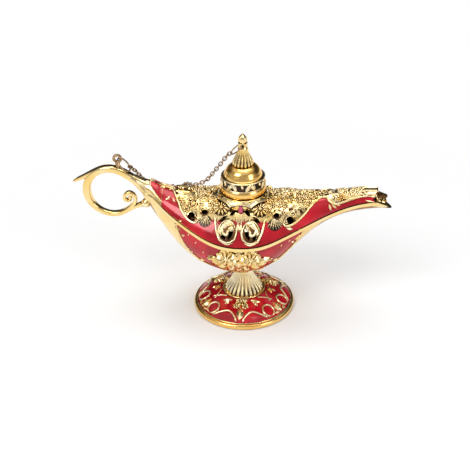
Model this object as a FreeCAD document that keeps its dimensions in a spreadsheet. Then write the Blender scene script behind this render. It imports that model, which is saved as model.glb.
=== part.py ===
"""Footed boat-shaped oil lamp: gilt cast metal, red enamel, a pierced cover and a
lift-off lid that hangs on a chain.

Millimetres.  The foot stands on z = 0 with its axis on z, the spout points along +x
and the decorated front looks along -y.
"""
import FreeCAD, Part
import math
import os
import Sketcher
from FreeCAD import Placement, Vector

doc = FreeCAD.newDocument("oil_lamp")
sheet = doc.addObject("Spreadsheet::Sheet", "dims")

SIZES = {
    # foot and stem
    "foot_r": 35.0,
    "foot_rim_h": 3.6,
    "rim_bead_r": 1.5,
    "field_out_r": 32.4,
    "field_out_z": 4.2,
    "field_in_r": 14.6,
    "field_in_z": 11.4,
    "field_curve_r": 44.0,
    "foot_seat_z": 12.2,
    "foot_wall": 2.2,
    "enamel_t": 0.4,
    "stem_base_r": 13.2,
    "stem_waist_r": 5.4,
    "stem_waist_z": 26.4,
    "stem_top_r": 6.6,
    "stem_top_z": 30.0,
    "stem_flutes": 24,
    "screw_r": 2.0,
    "screw_head_r": 4.0,
    "screw_head_h": 2.4,
    "screw_top_z": 37.0,
    "washer_r": 6.0,
    "washer_t": 1.0,
    "bore_clear": 0.15,
    "boss_r": 8.0,
    "boss_top_z": 40.0,
    # bowl and cover
    "wall": 1.7,
    "seam_gap": 0.1,
    "band_proud": 1.3,
    "band_h": 2.2,
    "band_drop": 0.4,
    "calyx_t": 1.1,
    "calyx_hub_r": 12.0,
    "calyx_tip_r": 21.0,
    "calyx_lobe_r": 11.0,
    "relief_t": 1.0,
    "neck_r": 15.6,
    "neck_bore_r": 13.0,
    "neck_low_z": 82.0,
    "neck_top_z": 87.2,
    "gem_r": 1.7,
    "gem_h": 2.9,
    # collar and lid
    "collar_r": 16.4,
    "collar_t": 1.9,
    "collar_bore_r": 11.8,
    "collar_spigot_z": 84.2,
    "scallop_r": 1.5,
    "scallops": 24,
    "lid_gap": 0.25,
    "lid_low_r": 14.9,
    "lid_band_r": 14.2,
    "lid_band_low_z": 94.4,
    "lid_band_top_z": 100.4,
    "lid_step_r": 12.8,
    "lid_shoulder_r": 11.8,
    "lid_shoulder_z": 103.8,
    "lid_neck_r": 7.6,
    "lid_neck_z": 108.0,
    "lid_wall": 1.5,
    "skirt_r": 11.4,
    "skirt_t": 1.3,
    "skirt_low_z": 84.0,
    "cone_r": 7.0,
    "cone_top_r": 3.3,
    "cone_top_z": 119.2,
    "cone_flutes": 16,
    "eye_neck_r": 2.9,
    "eye_collar_r": 3.4,
    "eye_z": 122.0,
    "eye_hole_r": 1.4,
    "bud_low_z": 123.8,
    "bud_r": 3.0,
    "bud_top_z": 130.0,
    "bud_flutes": 6,
    # handle
    "loop_x": -89.0,
    "loop_z": 84.0,
    "loop_r": 17.0,
    "loop_side_t": 5.2,
    "loop_low_t": 3.2,
    "loop_top_t": 4.6,
    "loop_w": 5.8,
    "loop_low_w": 4.6,
    "curl_t": 2.4,
    "curl_w": 4.0,
    "curl_x": -77.5,
    "curl_z": 79.7,
    "root_x": -62.0,
    "lump_r": 3.4,
    "lug_x": -83.3,
    "lug_z": 108.6,
    "lug_r": 2.4,
    "lug_wire": 0.85,
    # chain
    "link_wire": 0.7,
    "link_in_l": 2.8,
    "link_in_w": 1.5,
    "link_play": 0.25,
    "lid_ring_r": 5.2,
    "lid_ring_wire": 0.9,
    "lug_ring_r": 5.4,
    "lug_ring_wire": 1.1,
    "joint_ring_r": 2.6,
    "joint_ring_wire": 0.8,
}

# hull stations: x, half width at the rim, rim height, keel height, crown height
STATIONS = (
    (-62.0, 6.5, 86.2, 75.0, 93.6),
    (-53.0, 11.8, 81.0, 61.8, 89.6),
    (-42.0, 18.4, 75.0, 47.8, 86.8),
    (-30.0, 25.2, 70.2, 38.4, 86.6),
    (-15.0, 30.4, 65.2, 32.8, 86.2),
    (0.0, 32.0, 63.9, 31.0, 85.8),
    (15.0, 30.6, 65.6, 35.2, 86.2),
    (30.0, 25.0, 70.6, 46.8, 87.4),
    (45.0, 15.8, 75.2, 62.2, 88.2),
    (60.0, 10.4, 81.4, 73.2, 90.6),
    (74.0, 8.4, 86.6, 78.6, 93.2),
    (86.0, 7.4, 88.8, 80.8, 94.2),
    (99.0, 6.2, 86.4, 81.0, 91.4),
)
# one more cover station near the handle, where the rim line turns up fast
COVER_END = len(STATIONS)
COVER_END_STATION = (-58.0, 9.05, 84.95, 68.9, 92.15)
STATION_FIELDS = ("x", "half", "rim", "keel", "crown")
for number, station in enumerate(STATIONS + (COVER_END_STATION,)):
    for field, length in zip(STATION_FIELDS, station):
        SIZES["st%d_%s" % (number, field)] = length

# handle root beyond the hull: x, half width, middle height, lower and upper edge
ROOT_STATIONS = (
    (-66.0, 5.2, 88.2, 81.6, 94.2),
    (-70.5, 4.0, 92.4, 87.4, 96.2),
    (-75.5, 3.0, 95.6, 92.4, 98.4),
)
ROOT_FIELDS = ("x", "half", "middle", "low", "high")
for number, station in enumerate(ROOT_STATIONS):
    for field, length in zip(ROOT_FIELDS, station):
        SIZES["root%d_%s" % (number, field)] = length

for row, (alias, length) in enumerate(SIZES.items(), 1):
    sheet.set("A%d" % row, alias.replace("_", " "))
    sheet.set("B%d" % row, str(length))
    sheet.setAlias("B%d" % row, alias)
doc.recompute()


class Size:
    """A length together with the spreadsheet expression that drives it."""

    def __init__(self, value, text):
        self.value = value
        self.text = text

    def joined(self, other, sign, first, second):
        return Size(first, "(%s %s %s)" % (self.text, sign, second))

    def __add__(self, other):
        other = as_size(other)
        return self.joined(other, "+", self.value + other.value, other.text)

    def __sub__(self, other):
        other = as_size(other)
        return self.joined(other, "-", self.value - other.value, other.text)

    def __mul__(self, other):
        other = as_size(other)
        return self.joined(other, "*", self.value * other.value, other.text)

    def __truediv__(self, other):
        other = as_size(other)
        return self.joined(other, "/", self.value / other.value, other.text)

    def __neg__(self):
        return Size(-self.value, "(0 - %s)" % self.text)


def as_size(number):
    if isinstance(number, Size):
        return number
    return Size(float(number), "%.6g" % number if number >= 0 else "(0 - %.6g)" % -number)


def size(alias):
    return Size(float(SIZES[alias]), "dims." + alias)


def length_of(alias):
    return float(sheet.get(alias))


NOTHING = as_size(0)


def origin_plane(body, role):
    return [item for item in body.Origin.OriginFeatures if item.Role == role][0]


def add_loop(sketch, points):
    """Closed outline in a sketch.  A point is (x, y) when a straight edge arrives at it,
    or (x, y, radius, turn, big) for an arc: turn 1 runs anticlockwise and -1 clockwise,
    and big marks an arc longer than half a circle.  All of it is bound to the sheet."""
    points = [tuple(as_size(v) if i < 3 else v for i, v in enumerate(p)) for p in points]
    edges = []
    for number, point in enumerate(points):
        before = points[number - 1]
        start = Vector(before[0].value, before[1].value, 0)
        end = Vector(point[0].value, point[1].value, 0)
        if len(point) == 2:
            index = sketch.addGeometry(Part.LineSegment(start, end), False)
            edges.append((index, 1, 2))
            continue
        radius = point[2].value
        turn = point[3]
        chord = end - start
        left = Vector(-chord.y, chord.x, 0)
        left.normalize()
        rise = math.sqrt(max(radius ** 2 - chord.Length ** 2 / 4, 0.0))
        if len(point) == 5 and point[4]:
            rise = -rise
        centre = (start + end) * 0.5 + left * (turn * rise)
        first, last = (start, end) if turn > 0 else (end, start)
        angle_a = math.atan2(first.y - centre.y, first.x - centre.x)
        angle_b = math.atan2(last.y - centre.y, last.x - centre.x)
        if angle_b <= angle_a:
            angle_b += 2 * math.pi
        circle = Part.Circle(centre, Vector(0, 0, 1), radius)
        index = sketch.addGeometry(Part.ArcOfCircle(circle, angle_a, angle_b), False)
        edges.append((index, 1, 2) if turn > 0 else (index, 2, 1))
    rules = []
    bound = []
    for number, point in enumerate(points):
        index, _, tail = edges[number]
        after, head, _ = edges[(number + 1) % len(edges)]
        rules.append(Sketcher.Constraint("Coincident", index, tail, after, head))
        for axis, place in (("DistanceX", point[0]), ("DistanceY", point[1])):
            bound.append((len(rules), place.text))
            rules.append(Sketcher.Constraint(axis, -1, 1, index, tail, place.value))
        if len(point) > 2:
            bound.append((len(rules), point[2].text))
            rules.append(Sketcher.Constraint("Radius", index, point[2].value))
    base = sketch.ConstraintCount
    sketch.addConstraint(rules)
    for offset, text in bound:
        sketch.setExpression("Constraints[%d]" % (base + offset), text)


def add_circle(sketch, x, y, radius):
    x, y, radius = as_size(x), as_size(y), as_size(radius)
    centre = Vector(x.value, y.value, 0)
    index = sketch.addGeometry(Part.Circle(centre, Vector(0, 0, 1), radius.value), False)
    base = sketch.ConstraintCount
    sketch.addConstraint([
        Sketcher.Constraint("DistanceX", -1, 1, index, 3, x.value),
        Sketcher.Constraint("DistanceY", -1, 1, index, 3, y.value),
        Sketcher.Constraint("Radius", index, radius.value),
    ])
    for offset, item in enumerate((x, y, radius)):
        sketch.setExpression("Constraints[%d]" % (base + offset), item.text)


def new_body(label):
    body = doc.addObject("PartDesign::Body", label)
    body.Label = label
    return body


def new_sketch(body, name, role, offset=None):
    sketch = body.newObject("Sketcher::SketchObject", name)
    sketch.AttachmentSupport = [(origin_plane(body, role), "")]
    sketch.MapMode = "FlatFace"
    if offset is not None:
        sketch.setExpression("AttachmentOffset.Base.z", as_size(offset).text)
    return sketch


def turned(label, points):
    """A body turned about the z axis from a profile of (radius, height) points."""
    body = new_body(label)
    sketch = new_sketch(body, label + "_profile", "XZ_Plane")
    add_loop(sketch, points)
    spin = body.newObject("PartDesign::Revolution", label + "_spin")
    spin.Profile = sketch
    spin.ReferenceAxis = (sketch, ["V_Axis"])
    spin.Angle = 360.0
    return body


def upright(body, name, kind, low, high, shapes):
    """A pad or pocket of circles between two heights on the z axis."""
    low, high = as_size(low), as_size(high)
    sketch = new_sketch(body, name + "_sketch", "XY_Plane", low)
    for x, y, radius in shapes:
        add_circle(sketch, x, y, radius)
    feature = body.newObject("PartDesign::" + kind, name)
    feature.Profile = sketch
    feature.setExpression("Length", (high - low).text)
    feature.Reversed = kind == "Pocket"
    return feature


def through_y(body, name, kind, loops=(), discs=(), reach=90.0):
    """A pad or pocket of front-view outlines, equal on both sides of the middle plane."""
    sketch = new_sketch(body, name + "_sketch", "XZ_Plane")
    for loop in loops:
        add_loop(sketch, loop)
    for x, z, radius in discs:
        add_circle(sketch, x, z, radius)
    feature = body.newObject("PartDesign::" + kind, name)
    feature.Profile = sketch
    feature.SideType = "Symmetric"
    feature.Length = reach
    return feature


def boolean(label, kind, base, tool):
    result = doc.addObject("Part::" + kind, label)
    result.Label = label
    result.Base = base
    result.Tool = tool
    return result


# hull lofts

def arc_radius(half, rise):
    return (half * half + rise * rise) / (rise * 2)


def hull_section(body, name, station, side, grow, lap, x=None):
    """One cross-section: an arc under (side -1) or over (side 1) the rim line.  grow moves
    it outwards, and lap carries its flat edge past the rim line."""
    rim = size("st%d_rim" % station)
    half = size("st%d_half" % station) + grow
    if side < 0:
        rise = rim - size("st%d_keel" % station) + grow
    else:
        rim = rim + size("seam_gap")
        rise = size("st%d_crown" % station) - rim + grow
    radius = arc_radius(half, rise)
    place = size("st%d_x" % station) if x is None else x
    sketch = new_sketch(body, name, "YZ_Plane", place)
    big = rise.value > half.value
    edge = rim if lap is None else (rim + lap if side < 0 else rim - lap)
    if side < 0:
        loop = [(-half, rim), (half, rim, radius, 1, big)]
        if lap is not None:
            loop += [(half, edge), (-half, edge)]
    else:
        loop = [(half, rim), (-half, rim, radius, 1, big)]
        if lap is not None:
            loop += [(-half, edge), (half, edge)]
    add_loop(sketch, loop)
    return sketch


def hull_loft(body, name, kind, side, grow, lap=None, first=0, past=None):
    last = len(STATIONS) - 1
    sections = []
    order = list(range(first, last + 1))
    if side > 0 and first == 0:
        order.insert(1, COVER_END)
    for station in order:
        x = size("st%d_x" % last) + past if past is not None and station == last else None
        sections.append(hull_section(body, "%s_%d" % (name, station), station, side, grow, lap, x))
    loft = body.newObject("PartDesign::" + kind, name)
    loft.Profile = sections[0]
    loft.Sections = sections[1:]
    return loft


def hull_solid(label, side, grow):
    body = new_body(label)
    hull_loft(body, label + "_loft", "AdditiveLoft", side, grow)
    return body


pieces = []


def keep(item):
    pieces.append(item)
    return item


# foot

foot_r = size("foot_r")
bead_r = size("rim_bead_r")
field_out_r = size("field_out_r")
field_out_z = size("field_out_z")
field_in_r = size("field_in_r")
field_in_z = size("field_in_z")
curve_r = size("field_curve_r")
foot_wall = size("foot_wall")
seat_z = size("foot_seat_z")
stem_base_r = size("stem_base_r")
screw_hole_r = size("screw_r") + size("bore_clear")
enamel_t = size("enamel_t")
foot_floor_z = seat_z - foot_wall

foot = keep(turned("foot", [
    (screw_hole_r, foot_floor_z),
    (field_in_r - 3, foot_floor_z),
    (foot_r - foot_wall * 2, field_out_z - foot_wall, curve_r, -1, False),
    (foot_r - foot_wall, NOTHING),
    (foot_r - 0.6, NOTHING),
    (foot_r, as_size(0.6)),
    (foot_r, size("foot_rim_h") - bead_r),
    (foot_r - bead_r, size("foot_rim_h"), bead_r, 1, False),
    (field_out_r, size("foot_rim_h")),
    (field_out_r, field_out_z),
    (field_in_r, field_in_z, curve_r, 1, False),
    (field_in_r, seat_z),
    (screw_hole_r, seat_z),
]))
foot_enamel = keep(turned("foot_enamel", [
    (field_out_r, field_out_z + enamel_t),
    (field_in_r, field_in_z + enamel_t, curve_r, 1, False),
    (field_in_r, field_in_z),
    (field_out_r, field_out_z, curve_r, -1, False),
]))

washer_top_z = foot_floor_z
washer_low_z = foot_floor_z - size("washer_t")
washer = keep(turned("foot_washer", [
    (screw_hole_r, washer_low_z),
    (size("washer_r"), washer_low_z),
    (size("washer_r"), washer_top_z),
    (screw_hole_r, washer_top_z),
]))
head_low_z = washer_low_z - size("screw_head_h")
screw = keep(turned("foot_screw", [
    (NOTHING, head_low_z),
    (size("screw_head_r") - 0.8, head_low_z),
    (size("screw_head_r"), head_low_z + 0.8),
    (size("screw_head_r"), washer_low_z),
    (size("screw_r"), washer_low_z),
    (size("screw_r"), size("screw_top_z") - 0.8),
    (size("screw_r") - 0.8, size("screw_top_z")),
    (NOTHING, size("screw_top_z")),
]))
slot_sketch = new_sketch(screw, "driver_slot_sketch", "XY_Plane", head_low_z)
add_loop(slot_sketch, [(-5, -0.5), (5, -0.5), (5, 0.5), (-5, 0.5)])
driver_slot = screw.newObject("PartDesign::Pocket", "driver_slot")
driver_slot.Profile = slot_sketch
driver_slot.Length = 1.2
driver_slot.Reversed = True


# fluted solids

def fluted(label, rings, count, bore=0.0):
    """A solid with flutes that follow its swelling outline.  A ring is (height, radius of
    the crests, depth of the flutes)."""
    wires = []
    steps = 4 * count
    for height, crest, depth in rings:
        points = []
        for step in range(steps):
            turn = 2 * math.pi * step / steps
            wave = 0.5 - 0.5 * math.cos(count * turn)
            radius = crest - depth * wave
            points.append(Vector(radius * math.cos(turn), radius * math.sin(turn), height))
        curve = Part.BSplineCurve()
        curve.interpolate(points, PeriodicFlag=True)
        wires.append(Part.Wire([curve.toShape()]))
    solid = Part.makeLoft(wires, True, False)
    if bore:
        low = rings[0][0] - 1.0
        tall = rings[-1][0] - low + 1.0
        solid = solid.cut(Part.makeCylinder(bore, tall, Vector(0, 0, low)))
    item = doc.addObject("Part::Feature", label)
    item.Label = label
    item.Shape = solid
    return item


stem_low_z = length_of("foot_seat_z")
stem_base = length_of("stem_base_r")
waist_r = length_of("stem_waist_r")
waist_z = length_of("stem_waist_z")
stem_top_z = length_of("stem_top_z")
stem_rise = waist_z - stem_low_z
stem_flare = stem_base - waist_r
stem = keep(fluted("stem", [
    (stem_low_z, stem_base, 1.0),
    (stem_low_z + 0.10 * stem_rise, stem_base - 0.3, 1.3),
    (stem_low_z + 0.34 * stem_rise, waist_r + 0.66 * stem_flare, 1.2),
    (stem_low_z + 0.62 * stem_rise, waist_r + 0.36 * stem_flare, 1.0),
    (stem_low_z + 0.84 * stem_rise, waist_r + 0.12 * stem_flare, 0.7),
    (waist_z, waist_r, 0.6),
    (stem_top_z, length_of("stem_top_r"), 0.5),
], int(length_of("stem_flutes")), length_of("screw_r") + length_of("bore_clear")))

# bowl

wall = size("wall")
bowl_solid = hull_solid("bowl_solid", -1, NOTHING)
cover_solid = hull_solid("cover_solid", 1, NOTHING)

bowl_body = new_body("bowl_body")
hull_loft(bowl_body, "bowl_outer", "AdditiveLoft", -1, NOTHING)
hull_loft(bowl_body, "bowl_inner", "SubtractiveLoft", -1, -wall, as_size(1.0), 1, as_size(2.0))
upright(bowl_body, "bowl_boss", "Pad", size("stem_top_z"), size("boss_top_z"),
        [(0, 0, size("boss_r"))])
upright(bowl_body, "bowl_boss_hole", "Pocket", size("stem_top_z"), size("screw_top_z") + 1,
        [(0, 0, screw_hole_r)])

# spout lips in front view: upper, side and lower points with notches between them
lip_top = (88.2, 93.4)
lip_notch = (84.4, 89.8)
lip_side = (94.8, 86.0)
lip_notch_low = (91.8, 84.0)
lip_low = (97.6, 81.2)
MOUTH = [
    (lip_top[0] - 1.0, 102.0),
    lip_top,
    lip_notch,
    lip_side,
    lip_notch_low,
    lip_low,
    (lip_low[0], 74.0),
    (106.0, 74.0),
    (106.0, 102.0),
]
mouth = new_body("mouth_cut")
through_y(mouth, "mouth_pad", "Pad", [MOUTH])

bowl = keep(boolean("bowl", "Cut", bowl_body, mouth))

# rim band: a strake just under the seam, outside the bowl

band_proud = size("band_proud")
band_h = size("band_h")
band_body = new_body("rim_slab")
band_sections = []
for number in range(len(STATIONS)):
    sketch = new_sketch(band_body, "slab_%d" % number, "YZ_Plane", size("st%d_x" % number))
    reach = size("st%d_half" % number) + band_proud
    top = size("st%d_rim" % number) - size("band_drop")
    low = top - band_h
    add_loop(sketch, [(-reach, low), (reach, low), (reach, top), (-reach, top)])
    band_sections.append(sketch)
slab = band_body.newObject("PartDesign::AdditiveLoft", "slab_loft")
slab.Profile = band_sections[0]
slab.Sections = band_sections[1:]
band_cut = boolean("rim_band_full", "Cut", band_body, bowl_solid)
rim_band = keep(boolean("rim_band", "Cut", band_cut, mouth))

# calyx: a lobed cup of leaves round the underside of the bowl

calyx_prism = new_body("calyx_prism")
upright(calyx_prism, "calyx_hub", "Pad", as_size(22.0), as_size(52.0),
        [(0, 0, size("calyx_hub_r"))])
leaf_sketch = new_sketch(calyx_prism, "leaf_sketch", "XY_Plane", as_size(22.0))
lobe_r = size("calyx_lobe_r")
add_loop(leaf_sketch, [
    (size("calyx_hub_r") - 6, 0, lobe_r, 1, False),
    (size("calyx_tip_r"), 0, lobe_r, 1, False),
])
leaf = calyx_prism.newObject("PartDesign::Pad", "leaf")
leaf.Profile = leaf_sketch
leaf.Length = 30.0
leaves = calyx_prism.newObject("PartDesign::PolarPattern", "leaves")
leaves.Originals = [leaf]
leaves.Axis = (origin_plane(calyx_prism, "Z_Axis"), [""])
leaves.Angle = 360.0
leaves.Occurrences = 8
calyx_prism.Tip = leaves
calyx_skin = boolean("calyx_skin", "Cut", hull_solid("calyx_grown", -1, size("calyx_t")), bowl_solid)
calyx_cup = boolean("calyx_cup", "Common", calyx_skin, calyx_prism)
calyx_hole = new_body("calyx_hole")
upright(calyx_hole, "calyx_hole_pad", "Pad", as_size(20.0), as_size(40.0),
        [(0, 0, size("stem_top_r") + 0.2)])
calyx = keep(boolean("calyx", "Cut", calyx_cup, calyx_hole))

# cast flower sprays on the front and back of the bowl, above the stem

def rosette(x, z, radius, petals):
    """A scalloped flower outline."""
    inner = 0.84 * radius
    chord = 2 * inner * math.sin(math.pi / petals)
    loop = []
    for number in range(petals):
        turn = 2 * math.pi * number / petals
        loop.append((x + inner * math.cos(turn), z + inner * math.sin(turn),
                     as_size(0.56 * chord), 1, False))
    return loop


def leaf_outline(x, z, tip_x, tip_z, width):
    """A pointed leaf from its root to its tip."""
    half = math.hypot(tip_x - x, tip_z - z) / 2
    radius = as_size((half * half + width * width / 4) / width)
    return [(x, z, radius, 1, False), (tip_x, tip_z, radius, 1, False)]


flower_x = 8.0
flower_z = 55.2
flower_r = 7.2
flowers = new_body("flower_prism")
through_y(flowers, "flower_stalk", "Pad", [leaf_outline(0.0, 58.0, 0.0, 36.0, 15.0)])
for side in (-1, 1):
    tag = "left" if side < 0 else "right"
    through_y(flowers, "flower_" + tag, "Pad", [rosette(side * flower_x, flower_z, flower_r, 8)])
    through_y(flowers, "low_leaf_" + tag, "Pad",
              [leaf_outline(side * 2.0, 50.0, side * 16.5, 45.6, 6.4)])
    through_y(flowers, "side_leaf_" + tag, "Pad",
              [leaf_outline(side * 8.0, 53.0, side * 20.0, 52.0, 6.0)])
flower_skin = boolean("flower_skin", "Common", calyx_skin, flowers)
flower_bare = boolean("flower_bare", "Cut", flower_skin, calyx_prism)
bowl_flowers = keep(boolean("bowl_flowers", "Cut", flower_bare, band_body))

# bowl enamel: the red side panels between the band and the calyx

panel_top = 84.0
PANEL = [
    (-42.0, panel_top),
    (-42.0, 71.5),
    (-35.0, 56.0, as_size(60.0), 1, False),
    (-6.0, 28.0, as_size(60.0), 1, False),
    (6.0, 28.0),
    (32.0, 57.0, as_size(60.0), 1, False),
    (41.0, 69.5, as_size(60.0), 1, False),
    (41.0, panel_top),
]
panel = new_body("panel_prism")
through_y(panel, "panel_pad", "Pad", [PANEL])
bowl_skin = boolean("bowl_skin", "Cut", hull_solid("bowl_grown", -1, enamel_t), bowl_solid)
bowl_panel = boolean("bowl_panel", "Common", bowl_skin, panel)
bowl_panel_low = boolean("bowl_panel_low", "Cut", bowl_panel, calyx_prism)
bowl_panel_mid = boolean("bowl_panel_mid", "Cut", bowl_panel_low, flowers)
bowl_panel_all = boolean("bowl_panel_all", "Cut", bowl_panel_mid, band_body)
doc.recompute()
bowl_enamel = doc.addObject("Part::Feature", "bowl_enamel")
bowl_enamel.Label = "bowl_enamel"
panels = [solid for solid in bowl_panel_all.Shape.Solids if solid.Volume > 25.0]
bowl_enamel.Shape = Part.makeCompound(panels)
keep(bowl_enamel)

# cover with its neck, pierced windows and enamel border

cover_body = new_body("cover_body")
hull_loft(cover_body, "cover_outer", "AdditiveLoft", 1, NOTHING)
hull_loft(cover_body, "cover_inner", "SubtractiveLoft", 1, -wall, as_size(1.0), 1, as_size(2.0))
upright(cover_body, "cover_neck", "Pad", size("neck_low_z"), size("neck_top_z"),
        [(0, 0, size("neck_r"))])
upright(cover_body, "cover_bore", "Pocket", as_size(76.0), size("neck_top_z") + 1,
        [(0, 0, size("neck_bore_r"))])
cover_mouth = boolean("cover_mouth", "Cut", cover_body, mouth)

scroll_x = 7.7
scroll_z = 72.7
scroll_out = 6.3
scroll_in = 5.0


def eye_window(x, z, width, height):
    """A pointed eye-shaped window."""
    half = width / 2
    radius = as_size((half * half + height * height / 4) / height)
    return [(x - half, z, radius, 1, False), (x + half, z, radius, 1, False)]


SIDE_EYES = (
    (-32.0, 78.2, 5.6, 4.4),
    (-23.6, 81.0, 4.8, 2.4),
    (23.6, 81.0, 4.8, 2.4),
    (32.2, 78.4, 5.6, 4.4),
)
windows = new_body("windows")
loops = [eye_window(*eye) for eye in SIDE_EYES]
for side in (-1, 1):
    loops += [
        leaf_outline(side * (scroll_x - 3.6), scroll_z + 2.8, side * (scroll_x - 0.8), scroll_z - 4.2, 3.0),
        leaf_outline(side * (scroll_x + 0.8), scroll_z - 4.0, side * (scroll_x + 4.2), scroll_z - 1.0, 2.6),
        leaf_outline(side * 13.6, 77.4, side * 8.0, 80.0, 1.8),
        leaf_outline(side * 7.0, 80.2, side * 3.0, 81.8, 1.5),
    ]
through_y(windows, "window_pads", "Pad", loops)
cover = keep(boolean("cover", "Cut", cover_mouth, windows))

# raised gold scroll frames round the two middle windows

cover_grown = hull_solid("cover_grown", 1, size("relief_t"))
relief_skin = boolean("relief_skin", "Cut", cover_grown, cover_solid)
frames_prism = new_body("frames_prism")
for side in (-1, 1):
    through_y(frames_prism, "frame_%d" % (side + 1), "Pad",
              discs=[(side * scroll_x, scroll_z, scroll_out)])
frames_disc = boolean("frames_disc", "Common", relief_skin, frames_prism)
cover_scrolls = keep(boolean("cover_scrolls", "Cut", frames_disc, windows))

BORDER = [
    (-53.0, 91.4),
    (-53.0, 76.0),
    (-30.0, 60.0),
    (0.0, 54.0),
    (30.0, 60.0),
    (86.0, 80.0),
    (86.0, 91.6),
    (80.0, 91.8),
    (72.0, 90.0),
    (65.0, 87.6),
    (61.0, 86.6),
    (57.5, 87.6),
    (54.0, 89.0),
    (48.5, 87.2),
    (40.0, 80.4),
    (34.0, 76.6),
    (26.0, 76.6),
    (20.0, 78.0),
    (-20.0, 78.0),
    (-28.0, 75.8),
    (-36.5, 78.4),
    (-42.0, 84.4),
    (-46.0, 87.8),
]
border = new_body("border_prism")
through_y(border, "border_pad", "Pad", [BORDER])
cover_thin = boolean("cover_thin", "Cut", hull_solid("cover_enamel_grown", 1, enamel_t), cover_solid)
border_skin = boolean("border_skin", "Common", cover_thin, border)
border_mouth = boolean("border_mouth", "Cut", border_skin, mouth)
border_frames = boolean("border_frames", "Cut", border_mouth, frames_prism)
cover_enamel = keep(boolean("cover_enamel", "Cut", border_frames, windows))

# teardrop stones set on the neck, front and back

gem_r = length_of("gem_r")
gem_h = length_of("gem_h")
gem_y = length_of("neck_r") + 0.8
gem_z = 82.6
gem_parts = []
for side in (-1, 1):
    seat = Vector(0, side * gem_y, gem_z)
    ball = Part.makeSphere(gem_r, seat)
    point = Part.makeCone(gem_r * 0.94, 0.25, gem_h + 0.6, seat + Vector(0, 0, gem_r * 0.34))
    gem_parts.append(ball.fuse(point))
gem_raw = doc.addObject("Part::Feature", "gem_raw")
gem_raw.Shape = Part.makeCompound(gem_parts)
gem_drops = keep(boolean("gem_drops", "Cut", gem_raw, cover))

# collar

neck_top_z = size("neck_top_z")
collar_top_z = neck_top_z + size("collar_t")
collar = keep(turned("collar", [
    (size("collar_bore_r"), size("collar_spigot_z")),
    (size("neck_bore_r") - size("bore_clear"), size("collar_spigot_z")),
    (size("neck_bore_r") - size("bore_clear"), neck_top_z),
    (size("collar_r"), neck_top_z),
    (size("collar_r"), neck_top_z + 0.6),
    (size("lid_low_r"), collar_top_z, as_size(2.2), 1, False),
    (size("collar_bore_r"), collar_top_z),
]))
scallop_sketch = new_sketch(collar, "scallop_sketch", "XY_Plane", neck_top_z)
add_circle(scallop_sketch, size("collar_r") + 0.5, 0, size("scallop_r"))
scallop = collar.newObject("PartDesign::Pocket", "scallop")
scallop.Profile = scallop_sketch
scallop.Length = 6.0
scallop.Reversed = True
scallops = collar.newObject("PartDesign::PolarPattern", "scallop_ring")
scallops.Originals = [scallop]
scallops.Axis = (origin_plane(collar, "Z_Axis"), [""])
scallops.Angle = 360.0
scallops.setExpression("Occurrences", size("scallops").text)
collar.Tip = scallops

# lid

lid_low_z = collar_top_z + size("lid_gap")
lid_wall = size("lid_wall")
lid = keep(turned("lid", [
    (size("skirt_r"), lid_low_z),
    (size("lid_low_r") - 0.5, lid_low_z),
    (size("lid_low_r") - 0.5, size("lid_band_low_z"), as_size(4.0), 1, False),
    (size("lid_band_r"), size("lid_band_low_z")),
    (size("lid_band_r"), size("lid_band_top_z")),
    (size("lid_step_r"), size("lid_band_top_z") + 0.8),
    (size("lid_shoulder_r"), size("lid_shoulder_z"), as_size(8.0), 1, False),
    (size("lid_neck_r"), size("lid_neck_z"), as_size(7.0), 1, False),
    (size("screw_r") + size("bore_clear"), size("lid_neck_z")),
    (size("screw_r") + size("bore_clear"), size("lid_neck_z") - lid_wall),
    (size("lid_neck_r") - 1, size("lid_neck_z") - lid_wall),
    (size("lid_shoulder_r") - lid_wall, size("lid_shoulder_z") - 1, as_size(7.0), -1, False),
    (size("skirt_r"), size("lid_band_top_z") - 1),
]))
skirt = keep(turned("lid_skirt", [
    (size("skirt_r") - size("skirt_t"), size("skirt_low_z")),
    (size("skirt_r") - 0.4, size("skirt_low_z")),
    (size("skirt_r"), size("skirt_low_z") + 0.4),
    (size("skirt_r"), size("lid_band_low_z")),
    (size("skirt_r") - size("skirt_t"), size("lid_band_low_z")),
]))

cone_low_z = length_of("lid_neck_z")
cone_top_z = length_of("cone_top_z")
eye_z = length_of("eye_z")
cone = fluted("cone_flutes_solid", [
    (cone_low_z, length_of("cone_r") - 0.6, 0.5),
    (cone_low_z + 1.6, length_of("cone_r"), 0.9),
    (cone_low_z + 5.0, length_of("cone_r") - 1.2, 0.9),
    (cone_top_z - 2.0, length_of("cone_top_r") + 0.5, 0.5),
    (cone_top_z, length_of("cone_top_r"), 0.3),
], int(length_of("cone_flutes")))
bud_low_z = length_of("bud_low_z")
bud_top_z = length_of("bud_top_z")
bud_r = length_of("bud_r")
bud = fluted("bud_solid", [
    (bud_low_z, bud_r * 0.84, 0.2),
    (bud_low_z + 1.8, bud_r, 0.5),
    (bud_low_z + 3.8, bud_r * 0.82, 0.45),
    (bud_top_z - 1.0, bud_r * 0.46, 0.2),
    (bud_top_z, bud_r * 0.08, 0.02),
], int(length_of("bud_flutes")))
eye_neck = turned("eye_neck", [
    (NOTHING, size("cone_top_z")),
    (size("cone_top_r"), size("cone_top_z")),
    (size("eye_collar_r"), size("cone_top_z") + 0.5),
    (size("eye_collar_r"), size("cone_top_z") + 0.9),
    (size("eye_neck_r"), size("eye_z") - 0.9),
    (size("eye_neck_r"), size("eye_z") + 0.9),
    (size("eye_collar_r") - 0.3, size("bud_low_z") - 0.6),
    (size("eye_collar_r") - 0.3, size("bud_low_z")),
    (NOTHING, size("bud_low_z")),
])
hole_sketch = new_sketch(eye_neck, "eye_hole_sketch", "XZ_Plane")
add_circle(hole_sketch, 0, size("eye_z"), size("eye_hole_r"))
eye_hole = eye_neck.newObject("PartDesign::Pocket", "eye_hole")
eye_hole.Profile = hole_sketch
eye_hole.SideType = "Symmetric"
eye_hole.Length = 20.0
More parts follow.
